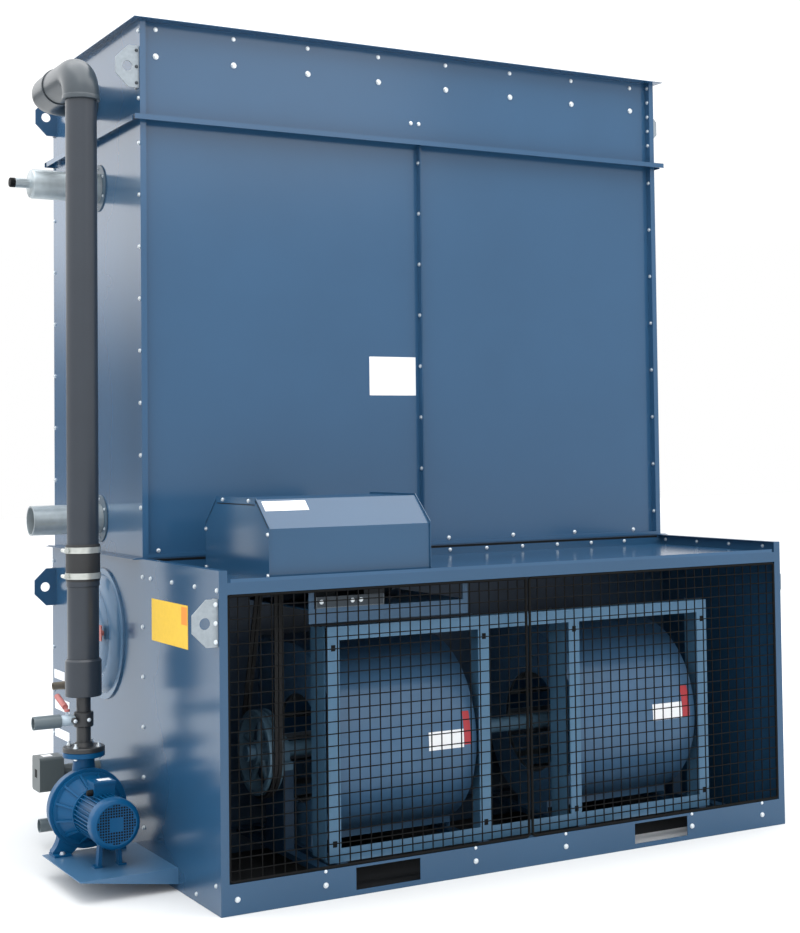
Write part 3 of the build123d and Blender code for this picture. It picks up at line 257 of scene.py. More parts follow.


# Folded lips: the casing's foot turns out above its joint with the roof tray; a dark strip paints the shade below.
# The tray's front edge turns up. Both are folds of the enamelled sheets.
def slabs(limits):
    """Straight-sided blocks from their limits along x, y and z: the low outline carried up to the high one."""
    shapes = []
    for (x0, x1), (y0, y1), (z0, z1) in limits:
        outline = np.array(((x0, y0), (x1, y0), (x1, y1), (x0, y1)))
        shapes.append(skin(np.stack([np.column_stack((outline, np.full(4, z))) for z in (z0, z1)])))
    return shapes


foot_lip = ((-1.433, 1.433), (-0.2165, casing_front), (1.383, 1.398))
tray_lip = ((-1.420, 1.420), (skirt_front, skirt_front + 0.0025), (1.330, 1.344))
piece("folded_lips", slabs([foot_lip, tray_lip]), enamel, smooth=False)
# Painted shade for gaps: near black and dull, on every joint and hole; it lies a hair's breadth in front of its face.
# The black plug and the cable gland take it as their own near black.
dark = surface("dark recess", "#070a0d", 0.6, shine=0.15)
hair = 0.0006
# A near-black strip on the tray: painted shade under the foot's lip.
joint = ((-1.430, 1.430), (tray_back - hair, tray_back), (1.366, 1.376))
piece("foot_joint_shade", slabs([joint]), dark, smooth=False)

# Plates and tags: thin plain sheets of plastic film, glued to the walls.
# One is yellow with an orange tag on it, and the others are white.
film = 0.0012
wall_skin = (wall_left - film, wall_left)
# Plastic film: even colour and a satin face.
yellow = surface("yellow film", "#d6b02e", 0.5, grain=0.04)
orange = surface("orange film", "#d98324", 0.5)
white = surface("white film", "#e9ebee", 0.5)
piece("yellow_plate", slabs([(wall_skin, (-0.818, -0.370), (1.030, 1.214))]), yellow, smooth=False)
tag_skin = (wall_left - 1.5 * film, wall_left - film)
piece("orange_tag", slabs([(tag_skin, (-0.812, -0.742), (1.130, 1.206))]), orange, smooth=False)
white_plates = [
    (wall_skin, (0.960, 1.140), (0.695, 0.740)),
    (wall_skin, (0.880, 1.130), (0.538, 0.598)),
    (wall_skin, (0.880, 1.130), (0.395, 0.443)),
    ((-0.282, -0.024), (casing_front - film, casing_front), (2.128, 2.319)),
]
piece("white_plates", slabs(white_plates), white, smooth=False)

# Fan chamber: divider, basin floor and rails, welded from sheet and channel, in the shade of the roof.
# The frame of flat posts and angles in front of the fans has a lighter coat, with a slot at each post's ends.

# Workshop enamel in three depths: darkened inside to paint the shade under the roof, paler on the frame, and with a
# soft sheen.
dress(surface("chamber enamel, painted shade", "#16324a", 0.4), "chamber_divider", "basin_floor", "base_rails")
frame_paint = surface("frame enamel", "#446a87", 0.35, grain=0.06, grain_mm=125)
dress(frame_paint, "fan_frame_rails", "fan_frame_posts")
dress(surface("platform enamel", "#2b4c68", 0.4), "motor_platform")
post_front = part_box("fan_frame_posts")[0].y
slot_half_width = 0.010
slot_half_height = 0.013
post_columns = (-0.923, -0.181, 0.303, 1.045)
slot_rows = (0.200, 1.022)
# Each slot is a near-black sheet on the post's face: painted shade in the slot.
post_slots = [
    (
        (x - slot_half_width, x + slot_half_width),
        (post_front - hair, post_front),
        (z - slot_half_height, z + slot_half_height),
    )
    for x in post_columns
    for z in slot_rows
]
piece("post_slots", slabs(post_slots), dark, smooth=False)

# Fan scrolls: rolled sheet with flat sides, welded and coated in grey blue.
# Each has a plain white plate and a red strip, films that follow its round front.
scroll_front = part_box("left_fan_scroll")[0].y
scroll_middle = 0.555
upper_radius = 0.441
lower_radius = 0.405
film_lift = 0.001


def drum_patch(x0, x1, z0, z1):
    """A film on the scrolls' front: at each height the circle above or below the scroll's middle, lifted a little."""
    z = np.linspace(z0, z1, 9)
    rise = z - scroll_middle
    radius = np.where(rise > 0, upper_radius, lower_radius)
    y = scroll_front + radius - np.sqrt((radius + film_lift) ** 2 - rise ** 2)
    edges = [np.column_stack((np.full(len(z), x), y, z)) for x in (x0, x1)]
    return skin(np.stack(edges, axis=1), closed=False, caps=False)


# Satin enamel over rolled sheet: a broad soft light across the drum.
scroll_enamel = surface("scroll enamel", "#3a5c7b", 0.35, grain=0.08, grain_mm=200)
dress(scroll_enamel, "left_fan_scroll", "right_fan_scroll")
scroll_plates = [drum_patch(-0.447, -0.270, 0.535, 0.615), drum_patch(0.772, 0.945, 0.550, 0.627)]
piece("scroll_plates", scroll_plates, white)
# The same plastic film in a sober red.
red_film = surface("red film", "#a8323a", 0.5)
scroll_strips = [drum_patch(-0.268, -0.235, 0.545, 0.690), drum_patch(0.948, 0.990, 0.555, 0.699)]
piece("scroll_strips", scroll_strips, red_film)

# Fan wheels and shaft: galvanised sheet, riveted, on a turned steel shaft; they turn together inside the scrolls.
# The shaft runs in two cast pillow blocks.

# Weathered zinc: grey and mottled, with a soft glint.
dull_zinc = surface("weathered zinc", "#5b646b", 0.45, metallic=0.7, grain=0.15)
dress(dull_zinc, "left_fan_wheel", "right_fan_wheel")
# Machine paint on steel: grey blue and satin.
dress(surface("shaft paint", "#4c6c82", 0.4), "fan_shaft", "shaft_bearings")


# Fan pulley: a turned iron casting with two V-grooves, five round spokes and a hub, keyed to the shaft.
# It is painted grey blue.
def middle(node):
    """The middle of a CAD node's limits."""
    low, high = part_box(node)
    return np.array((low + high) / 2)


axle = middle("fan_pulley")
rim_half = 0.035
rim_radius = 0.185
rim_bevel = 0.002
rim_inside = 0.163
groove_radius = 0.176
groove_top = 0.008
groove_floor = 0.003
belt_offset = 0.010
hub_radius = 0.052
hub_bore = 0.0345
spoke_start = 0.045
spoke_line = [(0, 0.017), (0.122, 0.013)]
rim = [(-rim_half, rim_inside), (-rim_half, rim_radius - rim_bevel), (rim_bevel - rim_half, rim_radius)]
for groove in (-belt_offset, belt_offset):
    rim += [(groove - groove_top, rim_radius), (groove - groove_floor, groove_radius)]
    rim += [(groove + groove_floor, groove_radius), (groove + groove_top, rim_radius)]
rim += [(rim_half - rim_bevel, rim_radius), (rim_half, rim_radius - rim_bevel), (rim_half, rim_inside), rim[0]]
hub = [(-rim_half, hub_bore), (-rim_half, hub_radius), (rim_half, hub_radius), (rim_half, hub_bore)]
pulley = [lathe(axle, to_right, rim, sides=72, caps=False), lathe(axle, to_right, hub, caps=False)]
for turn in np.radians(90 + 72 * np.arange(5)):
    spoke = np.array((0.0, math.cos(turn), math.sin(turn)))
    pulley.append(lathe(axle + spoke * spoke_start, spoke, spoke_line, sides=12))
# Machine paint over cast iron: grey blue and satin.
pulley_paint = surface("pulley paint", "#4a6678", 0.4)
piece("pulley_casting", pulley, pulley_paint, body="fan_rotor", stands_for=["fan_pulley"])


# Drive belts: two moulded rubber V-belts side by side, stretched from the fan pulley up to the motor's pulley.
# They run in the grooves and clear the fan pulley's rim here.
def belt(x0, x1, large, small, large_radius, small_radius, thickness):
    """A flat loop round two circles: arcs joined by their outer tangents, its section's four corners carried along."""
    large = np.asarray(large)
    small = np.asarray(small)
    span = small - large
    lean = math.atan2(span[1], span[0])
    opening = math.acos((large_radius - small_radius) / np.linalg.norm(span))
    long_arc = np.linspace(lean + opening, lean + 2 * math.pi - opening, 40)
    short_arc = np.linspace(lean - opening, lean + opening, 20)
    turn = np.concatenate((long_arc, short_arc))
    out = np.column_stack((np.cos(turn), np.sin(turn)))
    centre = np.repeat((large, small), (40, 20), axis=0)
    radius = np.repeat((large_radius, small_radius), (40, 20))[:, None]
    inner = centre + out * radius
    outer = centre + out * (radius + thickness)
    corners = ((x0, outer), (x1, outer), (x1, inner), (x0, inner))
    section = [np.column_stack((np.full(len(turn), x), edge)) for x, edge in corners]
    return skin(np.stack(section, axis=1), loop=True, caps=False)


motor_axle = (axle[1] - 0.119, 1.355)
motor_loop_radius = 0.0803
belt_gap = 0.0055
belt_half = 0.008
belt_thickness = 0.009
belts = [
    belt(
        x - belt_half, x + belt_half, axle[1:], motor_axle, rim_radius + belt_gap, motor_loop_radius, belt_thickness,
    )
    for x in (axle[0] - belt_offset, axle[0] + belt_offset)
]
# Belt rubber, moulded: black and matt.
belt_black = surface("belt rubber", "#0b0c0e", 0.7)
piece("belt_loops", belts, belt_black, stands_for=["drive_belts"])

# Fan motor under the hood, a painted iron casting bolted to the platform.
# The slotted slide bar on the platform's front sets the belts' tension.
bar_left, bar_right = -1.010, -0.690
bar_low, bar_high = 1.195, 1.243
bar_front, bar_back = -1.101, -1.093
slide_columns = (-0.985, -0.840, -0.800)
slide_row = 1.222
rim_width = 0.004
rim_skin = (bar_front - 0.0015, bar_front)
# Motor paint: dark blue grey and satin.
motor_dark = surface("motor paint", "#1f2d38", 0.45)
dress(motor_dark, "fan_motor")
slide_bar = ((bar_left, bar_right), (bar_front, bar_back), (bar_low, bar_high))
piece("slide_bar", slabs([slide_bar]), motor_dark, smooth=False)
slide_rim = [
    ((bar_left, bar_right), rim_skin, (bar_low, bar_low + rim_width)),
    ((bar_left, bar_left + rim_width), rim_skin, (bar_low + rim_width, bar_high)),
    ((bar_right - rim_width, bar_right), rim_skin, (bar_low + rim_width, bar_high)),
]
piece("slide_rim", slabs(slide_rim), dull_zinc, smooth=False)
piece("slide_bolts", heads(every(slide_columns, bar_front, slide_row), to_front, 0.010), bolt_zinc)


# Motor hood: a folded enamelled cover; its end cap is screwed on round the edge and under a strap along the top.
# A plain white film is glued to the front slope.
def plate_on(corners, lift):
    """A thin plate on a plane: four corners, and the same four lifted along the plane's normal."""
    corners = np.array(corners, float)
    normal = np.cross(corners[1] - corners[0], corners[3] - corners[0])
    return skin(np.stack((corners, corners + normal / np.linalg.norm(normal) * lift)))


hood_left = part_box("motor_hood")[0].x
slope_low = np.array((-1.130, 1.538))
slope_high = np.array((-1.000, 1.656))
strap = 0.002
screws = [(hood_left, y, z) for y, z in ((-1.128, 1.345), (-1.128, 1.515), (-0.434, 1.515), (-0.434, 1.345))]
hood_screws = heads(screws, to_left, small_bolt_radius)
hood_screws += heads(every(hood_left - strap, (-0.930, -0.640), 1.650), to_left, small_bolt_radius)
piece("hood_screws", hood_screws, bolt_zinc)
strap_limits = ((hood_left - strap, hood_left), (-1.000, -0.562), (1.636, 1.664))
# The strap has the lower section's enamel, darkened as painted shade.
piece("hood_strap", slabs([strap_limits]), enamel_painted_shade, smooth=False)
plate_corners = [
    (x, *(slope_low + (slope_high - slope_low) * part))
    for x, part in ((-1.215, 0.60), (-1.015, 0.60), (-1.015, 0.93), (-1.215, 0.93))
]
piece("hood_plate", [plate_on(plate_corners, film_lift)], white, smooth=False)
# The gaps round the end cap are near-black strips: painted shade.
gap = 0.006
hood_gaps = slabs([((hood_left - hair, hood_left), (-0.992, -0.570), (1.6315, 1.636))])
for (y0, z0), (y1, z1) in (((-1.131, 1.544), (-0.996, 1.658)), ((-0.431, 1.544), (-0.566, 1.658))):
    gap_corners = [(hood_left, y, z) for y, z in ((y1, z1), (y1, z1 - gap), (y0, z0 - gap), (y0, z0))]
    hood_gaps.append(plate_on(gap_corners, hair))
piece("hood_gaps", hood_gaps, dark, smooth=False)

# Drift eliminators: sloping plastic blades, extruded and slid side by side into the discharge opening.
# They are loose, so that the sprays can be reached.

# Extruded PVC: dull and nearly black.
dress(surface("eliminator plastic", "#23282d", 0.55), "drift_eliminators")

# Lifting lugs: cut steel plates, each held by three bolts at its root.
# The front ones are hot-dip galvanised; the back ones take the casing's enamel, which makes them dark blue.
lug_nodes = ("upper_lifting_lugs", "lower_lifting_lugs")
back_lugs_from = 0.5
root_rows = np.array((-0.075, 0.0, 0.075))
upper_root = -1.470
lower_root = -1.481
upper_root_radius = 0.008
lower_root_radius = 0.010
# Hot-dip zinc: pale, with a fine spangle.
zinc = surface("galvanised steel", "#8f989f", 0.45, metallic=0.35, grain=0.08, grain_mm=16)
dress(zinc, *lug_nodes)
for name in lug_nodes:
    lugs = nodes[name].data
    lugs.materials.append(enamel)
    centres = np.empty(3 * len(lugs.polygons))
    lugs.polygons.foreach_get("center", centres)
    depth_row = np.array(nodes[name].matrix_world)[1]
    depth = centres.reshape(-1, 3) @ depth_row[:3] + depth_row[3]
    lugs.polygons.foreach_set("material_index", (depth > back_lugs_from).astype(int).tolist())
# Blackened steel: dark, with a dull glint.
dark_bolt = surface("blackened bolt steel", "#3a4046", 0.4, metallic=0.5)
upper_roots = every(upper_root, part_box("upper_lifting_lugs")[0].y, middle("upper_lifting_lugs")[2] + root_rows)
piece("upper_lug_bolts", heads(upper_roots, to_front, upper_root_radius), dark_bolt)
lower_roots = every(lower_root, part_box("lower_lifting_lugs")[0].y, middle("lower_lifting_lugs")[2] + root_rows)
piece("lower_lug_bolts", heads(lower_roots, to_front, lower_root_radius), bolt_zinc)

# Refrigerant stubs: primed steel pipes through the casing's left wall, each in a screwed collar.
# The upper one is capped, with a purge nipple and a black plug; the lower one is open.
stub_y = middle("refrigerant_inlet")[1]
inlet_z = middle("refrigerant_inlet")[2]
outlet_z = middle("refrigerant_outlet")[2]
stub_length = casing_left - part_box("refrigerant_outlet")[0].x
stub_radius = 0.07065
stub_bore = 0.06415
nipple_radius = 0.023
nipple_length = 0.070
bore_floor = 0.003
collar_thickness = 0.006
screw_circle = 0.094
screw_radius = 0.007
# Primed steel: pale grey, and still a little metallic.
primed = surface("primed steel", "#a3adb2", 0.34, metallic=0.6, grain=0.08, grain_mm=32)
cap_line = [(0, stub_radius), (0.325, stub_radius), (0.336, 0.066), (stub_length, 0.058)]
inlet = lathe((casing_left, stub_y, inlet_z), to_left, cap_line, sides=56)
nipple_place = np.array((casing_left - stub_length, stub_y, inlet_z))
nipple = lathe(nipple_place, to_left, [(0, nipple_radius), (nipple_length, nipple_radius)], sides=28)
piece("inlet_stub", [inlet, nipple], primed, stands_for=["refrigerant_inlet"])
plug_line = [(nipple_length, nipple_radius), (nipple_length + 0.021, nipple_radius), (nipple_length + 0.025, 0.020)]
piece("inlet_plug", [lathe(nipple_place, to_left, plug_line, sides=28)], dark)
open_line = [(0, stub_radius), (stub_length, stub_radius), (stub_length, stub_bore), (bore_floor, stub_bore)]
outlet = lathe((casing_left, stub_y, outlet_z), to_left, open_line + [(bore_floor, 0.001)], sides=56)
piece("outlet_stub", [outlet], primed, stands_for=["refrigerant_outlet"])
collar_line = [(0, 0.0708), (0, 0.114), (0.0045, 0.114), (collar_thickness, 0.112), (collar_thickness, 0.0708)]
collar_line += collar_line[:1]
collars = []
collar_screws = []
for z in (inlet_z, outlet_z):
    collars.append(lathe((casing_left, stub_y, z), to_left, collar_line, sides=56, caps=False))
    turn = np.radians(60 * np.arange(6) + 30)
    screw_y = stub_y + screw_circle * np.cos(turn)
    screw_z = z + screw_circle * np.sin(turn)
    places = np.column_stack((np.full(6, casing_left - collar_thickness), screw_y, screw_z))
    collar_screws += heads(places, to_left, screw_radius)
# Collar enamel: dark blue grey and satin.
collar_enamel = surface("collar enamel", "#33495a", 0.4)
piece("collar_rings", collars, collar_enamel, stands_for=["pipe_collars"])
piece("collar_screws", collar_screws, bolt_zinc)


# Spray riser: extruded grey plastic pipe with a bead near its sleeve.
# Two moulded elbows, glued on, lead it back and into the spray section.
# Where they meet, a dark ring paints the shade in a groove.
def tube(path, radius, sides=48, caps=True):
    """A round pipe along a path: circles square to the path, each turned on from the last without twist."""
    path = np.asarray(path, float)
    runs = np.diff(path, axis=0)
    runs /= np.linalg.norm(runs, axis=1)[:, None]
    tangents = np.vstack((runs[:1], runs[:-1] + runs[1:], runs[-1:]))
    tangents /= np.linalg.norm(tangents, axis=1)[:, None]
    side = np.cross(tangents[0], (0.0, 0.0, 1.0) if abs(tangents[0][2]) < 0.9 else (1.0, 0.0, 0.0))
    turn = np.arange(sides)[:, None] * 2 * np.pi / sides
    rings = []
    for place, tangent in zip(path, tangents):
        side = side - tangent * (side @ tangent)
        side /= np.linalg.norm(side)
        rings.append(place + radius * (np.cos(turn) * side + np.sin(turn) * np.cross(tangent, side)))
    return skin(np.stack(rings), caps=caps)


# Grey pipe plastic: dark and satin. The elbows are moulded in a paler batch.
pvc = surface("pipe plastic", "#262d36", 0.36, grain=0.05, grain_mm=160)
elbow_grey = surface("elbow plastic", "#333c43", 0.32, grain=0.05, grain_mm=160)
riser_x, riser_y = middle("pipe_reducer")[:2]
riser_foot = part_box("riser_pipe")[0].z
riser_length = 2.60
riser_radius = 0.070
bead_low = 1.264
elbow_radius = 0.082
lip_radius = 0.087
elbow_mouth = 3.465
header_z = 3.592
header_y = 0.4775
bend = 0.112
turn = np.radians(np.linspace(0, 90, 13))
still = np.ones(len(turn))
short = bend * (1 - np.cos(turn))
tall = bend * (1 - np.sin(turn))
path = np.vstack((
    (riser_x, riser_y, elbow_mouth),
    np.column_stack((riser_x * still, riser_y + short, header_z - tall)),
    np.column_stack((riser_x + short, header_y - tall, header_z * still)),
    (casing_left, header_y, header_z),
))
mouth_line = [(0, 0.0825), (0.002, 0.0845), (0.018, 0.0845), (0.022, elbow_radius)]
ring_line = [(0, elbow_radius), (0.002, lip_radius), (0.022, lip_radius), (0.026, elbow_radius)]
wall_line = [(0, lip_radius), (0.022, lip_radius), (0.026, elbow_radius)]
joint_y = 0.205
groove_width = 0.007
elbows = [
    tube(path, elbow_radius, sides=56),
    lathe((riser_x, riser_y, elbow_mouth - 0.002), to_top, mouth_line, sides=56),
    lathe((riser_x, joint_y, header_z), to_back, ring_line, sides=56),
    lathe((casing_left, header_y, header_z), to_left, wall_line, sides=56),
]
piece("riser_elbows", elbows, elbow_grey)
# The groove is a near-black band just proud of the elbow: painted shade.
groove_line = [(-groove_width, elbow_radius + 0.0003), (0, elbow_radius + 0.0003)]
piece("elbow_groove", [lathe((riser_x, joint_y, header_z), to_back, groove_line, sides=56)], dark)
bead_line = [(0, riser_radius), (0.002, 0.0735), (0.024, 0.0735)]
riser = [
    lathe((riser_x, riser_y, riser_foot), to_top, [(0, riser_radius), (riser_length, riser_radius)], sides=56),
    lathe((riser_x, riser_y, bead_low), to_top, bead_line, sides=56),
]
piece("riser_tube", riser, pvc, stands_for=["riser_pipe"])

# Rubber sleeve: a moulded ring of black rubber on the riser's joint.
# Two steel worm-drive clamps hold it, each with its screw on the left.
sleeve_line = [(0, 0.0705), (0, 0.0745), (0.006, 0.0761), (0.070, 0.0761), (0.083, 0.0755), (0.159, 0.0761)]
sleeve_line += [(0.165, 0.0745), (0.165, 0.0705)]
sleeve_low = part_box("rubber_coupling")[0].z
sleeve = lathe((riser_x, riser_y, sleeve_low), to_top, sleeve_line, sides=56, caps=False)
# Sleeve rubber, moulded: black, a little greyed by age.
rubber = surface("sleeve rubber", "#1c1e21", 0.5)
piece("rubber_sleeve", [sleeve], rubber, stands_for=["rubber_coupling"])
# Stainless band, rolled: bright, with a fine mottle.
clamp_steel = surface("stainless clamp steel", "#c3c6c2", 0.3, metallic=0.7, grain=0.08, grain_mm=20)
band_line = [(-0.003, 0.0763), (-0.003, 0.0792), (0.024, 0.0792), (0.024, 0.0763), (-0.003, 0.0763)]
screw_length = 0.046
clamp_rows = (1.302, 1.417)
clamps = []
for z in clamp_rows:
    clamps.append(lathe((riser_x, riser_y, z), to_top, band_line, sides=56, caps=False))
    screw = np.array((riser_x - 0.0865, riser_y + 0.020, z + 0.0105))
    clamps.append(lathe(screw, to_front, [(0, 0.009), (screw_length, 0.009)], sides=14))
    clamps.append(lathe(screw, to_front, [(screw_length, 0.0115), (screw_length + 0.011, 0.0115)], sides=6))
piece("worm_clamps", clamps, clamp_steel, stands_for=["hose_clamps"])

# Reducer: a moulded plastic socket with a bevelled mouth, glued to the foot of the riser.
# It leads down to the narrow outlet pipe.
reducer_line = [(0, 0.033), (0, 0.078), (0.003, 0.080), (0.157, 0.080), (0.166, 0.0735), (0.166, 0.069)]
reducer = lathe((riser_x, riser_y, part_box("pipe_reducer")[0].z), to_top, reducer_line, sides=56)
piece("reducer_socket", [reducer], pvc, stands_for=["pipe_reducer"])

# Pump outlet: a narrow black plastic pipe with a loose flange.
# Four zinc-plated bolts with nuts hold it down to the pump's own flange.
flange_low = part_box("pump_outlet")[0].z
flange_line = [(0, 0.090), (0.002, 0.0925), (0.018, 0.0925), (0.022, 0.089), (0.022, 0.044)]
flange_line += [(0.040, 0.038), (0.041, 0.0315), (0.246, 0.0315)]
outlet_pipe = lathe((riser_x, riser_y, flange_low), to_top, flange_line, sides=48)
# Polyethylene, moulded: near black and satin.
outlet_black = surface("outlet polyethylene", "#26282b", 0.4)
piece("outlet_flange_pipe", [outlet_pipe], outlet_black, stands_for=["pump_outlet"])
turn = np.radians(45 + 90 * np.arange(4))
bolt_circle = 0.0725
flange_bolt_radius = 0.0125
bolt_x = riser_x + bolt_circle * np.cos(turn)
bolt_y = riser_y + bolt_circle * np.sin(turn)


def round_flange(z):
    """The four bolts' places round the flange at a height."""
    return np.column_stack((bolt_x, bolt_y, np.full(4, z)))


flange_bolts = heads(round_flange(flange_low + 0.022), to_top, flange_bolt_radius)
flange_bolts += heads(round_flange(flange_low - 0.023), to_ground, flange_bolt_radius)
for place in round_flange(flange_low + 0.030):
    flange_bolts.append(lathe(place, to_top, [(0, 0.006), (0.012, 0.006)], sides=10))
piece("flange_bolts", flange_bolts, bolt_zinc)

# Bleed branch: a bolted plastic saddle on the outlet pipe and a pale plated ball valve.
# Its lever has a red dipped grip and turns; a plastic stub beyond the valve is open.
bleed_z = middle("bleed_pipe")[2]
saddle_line = [(0, 0.0318), (0, 0.040), (0.004, 0.0435), (0.062, 0.0435), (0.066, 0.040), (0.066, 0.0318)]
saddle = [lathe((riser_x, riser_y, bleed_z - 0.033), to_top, saddle_line, sides=40, caps=False)]
ear_line = [(0, 0.013), (0.020, 0.013), (0.024, 0.010)]
ears = (riser_x - 0.051, riser_x + 0.011)
saddle += [lathe((x, riser_y - 0.020, bleed_z), to_front, ear_line, sides=20) for x in ears]
piece("bleed_saddle", saddle, outlet_black)
piece("saddle_bolts", heads(every(ears, riser_y - 0.044, bleed_z), to_front, 0.009), bolt_zinc)
# Plated fitting: pale blue grey, barely metallic.
plated = surface("pale fitting", "#a8b8c4", 0.4, metallic=0.15)
stem_x = riser_x - 0.0745
valve_line = [(0, 0.019), (0.012, 0.024), (0.056, 0.024), (0.0655, 0.020)]
valve = [
    lathe((riser_x - 0.040, riser_y, bleed_z), to_left, valve_line),
    lathe((stem_x, riser_y, bleed_z), to_top, [(0, 0.007), (0.050, 0.007)], sides=16),
]
piece("ball_valve", valve, plated, stands_for=["bleed_valve"])
# Dipped plastic: a faded red, matt.
lever_red = surface("lever grip", "#a9625f", 0.5)
dress(lever_red, "valve_lever")
lever_x = middle("valve_lever")[0]
grip = tube([(lever_x, -0.098, 0.727), (lever_x, -0.030, 0.745), (lever_x, 0.026, 0.760)], 0.0135, sides=18)
piece("lever_sleeve", [grip], lever_red, body="bleed_lever")
# Stub plastic: mid grey, satin.
stub_grey = surface("stub plastic", "#59656b", 0.4)
valve_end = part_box("bleed_pipe")[1].x
bleed_length = valve_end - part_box("bleed_pipe")[0].x
bleed_floor = 0.0048
stub_line = [(0, 0.024), (0, 0.030), (bleed_length, 0.030), (bleed_length, 0.026), (bleed_floor, 0.026)]
stub = lathe((valve_end, riser_y, bleed_z), to_left, stub_line + [(bleed_floor, 0.001)], sides=40)
piece("bleed_stub", [stub], stub_grey, stands_for=["bleed_pipe"])

# Spray pump, wet end: an iron casting in a strong blue gloss. The volute has its outlet flange on top
# and a suction flange behind, and stands on curved webs with pads that are bolted to the shelf.
# Pump enamel: deep blue, with a restrained sheen over the casting's skin.
pump_blue = surface("pump enamel", "#04466f", 0.35, shine=0.18)
axis_z = middle("pump_bracket")[2]
shelf_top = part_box("pump_shelf")[1].z
volute_back = -0.067
volute_line = [(-0.080, 0.092), (-0.057, 0.092), (-0.057, 0.044), (0.0, 0.044), (0.006, 0.120), (0.030, 0.158)]
volute_line += [(0.055, 0.168), (0.107, 0.168), (0.107, 0.174), (0.110, 0.176), (0.121, 0.176), (0.123, 0.173)]
neck_line = [(0.10, 0.060), (0.195, 0.047), (0.219, 0.050), (0.219, 0.090), (0.221, 0.0925)]
neck_line += [(0.240, 0.0925), (0.242, 0.090)]
volute = [
    lathe((riser_x, volute_back, axis_z), to_front, volute_line, sides=64),
    lathe((riser_x, riser_y, axis_z), to_top, neck_line, sides=48),
]
foot_front, foot_back = -0.186, -0.136
pad_front, pad_back = -0.226, -0.134
pad_height = 0.010
foot_bolt_radius = 0.014
part = np.linspace(0, 1, 8)
web_curve = np.column_stack((0.128 + 0.030 * part ** 2.2, 0.186 - 0.073 * part))
web = np.vstack(((0.050, 0.118), (0.050, 0.165), web_curve, (0.158, shelf_top), (0.075, shelf_top)))
for side in (-1, 1):
    across = riser_x + side * web[:, 0]
    ends = [np.column_stack((across, np.full(len(web), y), web[:, 1])) for y in (foot_front, foot_back)]
    volute.append(skin(np.stack(ends[::side])))
    pad = sorted((riser_x + side * 0.086, riser_x + side * 0.161))
    volute += slabs([(pad, (pad_front, pad_back), (shelf_top, shelf_top + pad_height))])
piece("pump_volute", volute, pump_blue, stands_for=["pump_casing"])
foot_bolts = every((riser_x - 0.122, riser_x + 0.122), -0.208, shelf_top + pad_height)
piece("pump_foot_bolts", heads(foot_bolts, to_top, foot_bolt_radius), bolt_zinc)


# Spray pump, bracket: a cast iron cone with twelve ribs between two flanges, in the volute's enamel.
# It is bolted between the volute and the motor.
def ribs(outline, turns, half):
    """Flat ribs round the pump's axis: an outline of radius and y, turned by each angle, thickened to both sides."""
    radius, y = np.array(outline).T[:, :, None]
    shapes = []
    for turn in turns:
        out = np.array((math.cos(turn), 0.0, math.sin(turn)))
        across = np.array((-math.sin(turn), 0.0, math.cos(turn))) * half
        line = np.array((riser_x, 0.0, axis_z)) + radius * out + y * np.array((0.0, 1.0, 0.0))
        shapes.append(skin(np.stack((line + across, line - across))))
    return shapes


cone_line = [(0, 0.160), (0.014, 0.160), (0.016, 0.144), (0.102, 0.094), (0.102, 0.106), (0.118, 0.106)]
cone = [lathe((riser_x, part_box("pump_bracket")[1].y, axis_z), to_front, cone_line, sides=64)]
rib_outline = [(0.120, -0.200), (0.158, -0.200), (0.104, -0.294), (0.080, -0.294)]
cone += ribs(rib_outline, np.radians(30 * np.arange(12) + 15), 0.0045)
piece("pump_cone", cone, pump_blue, stands_for=["pump_bracket"])

# Spray pump, motor: a finned iron body with a pressed fan cowl, a terminal box with a plain plate, and two legs.
# The cowl's grille is punched round a square middle.
motor_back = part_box("pump_motor")[1].y
fin_radius = 0.104
fin_outline = [(0.090, -0.312), (fin_radius, -0.312), (fin_radius, -0.520), (0.090, -0.520)]
motor = [lathe((riser_x, motor_back, axis_z), to_front, [(0, 0.092), (0.215, 0.092)], sides=64)]
motor += ribs(fin_outline, np.radians(10 * np.arange(36) + 5), 0.0018)
cowl_line = [(0, 0.104), (0, 0.108), (0.040, 0.108), (0.052, 0.105), (0.059, 0.098), (0.062, 0.088), (0.060, 0.082)]
motor.append(lathe((riser_x, motor_back - 0.215, axis_z), to_front, cowl_line, sides=64))
box_half = 0.046
lid_half = 0.050
lid_low = axis_z + 0.142
lid_top = axis_z + 0.154
motor += slabs([
    ((riser_x - box_half, riser_x + box_half), (-0.424, -0.338), (axis_z + 0.085, lid_low)),
    ((riser_x - lid_half, riser_x + lid_half), (-0.428, -0.334), (lid_low, lid_top)),
])
leg_y = -0.477
pad_top = shelf_top + 0.008
leg_section = np.array(((-0.008, -0.018), (0.008, -0.018), (0.008, 0.018), (-0.008, 0.018)))
for side in (-1, 1):
    ends = ((0.046, pad_top), (0.038, axis_z - 0.085))
    leg = [np.column_stack((leg_section + (riser_x + side * x, leg_y), np.full(4, z))) for x, z in ends]
    motor.append(skin(np.stack(leg)))
    pad = sorted((riser_x + side * 0.036, riser_x + side * 0.070))
    motor += slabs([(pad, (-0.500, -0.454), (shelf_top, pad_top))])
piece("pump_motor_body", motor, pump_blue, stands_for=["pump_motor"])
grille_face = -0.583
grille_radius = 0.083
square_half = 0.026
hole_half = 0.0038
steps = 0.0115 * np.arange(-7, 8)
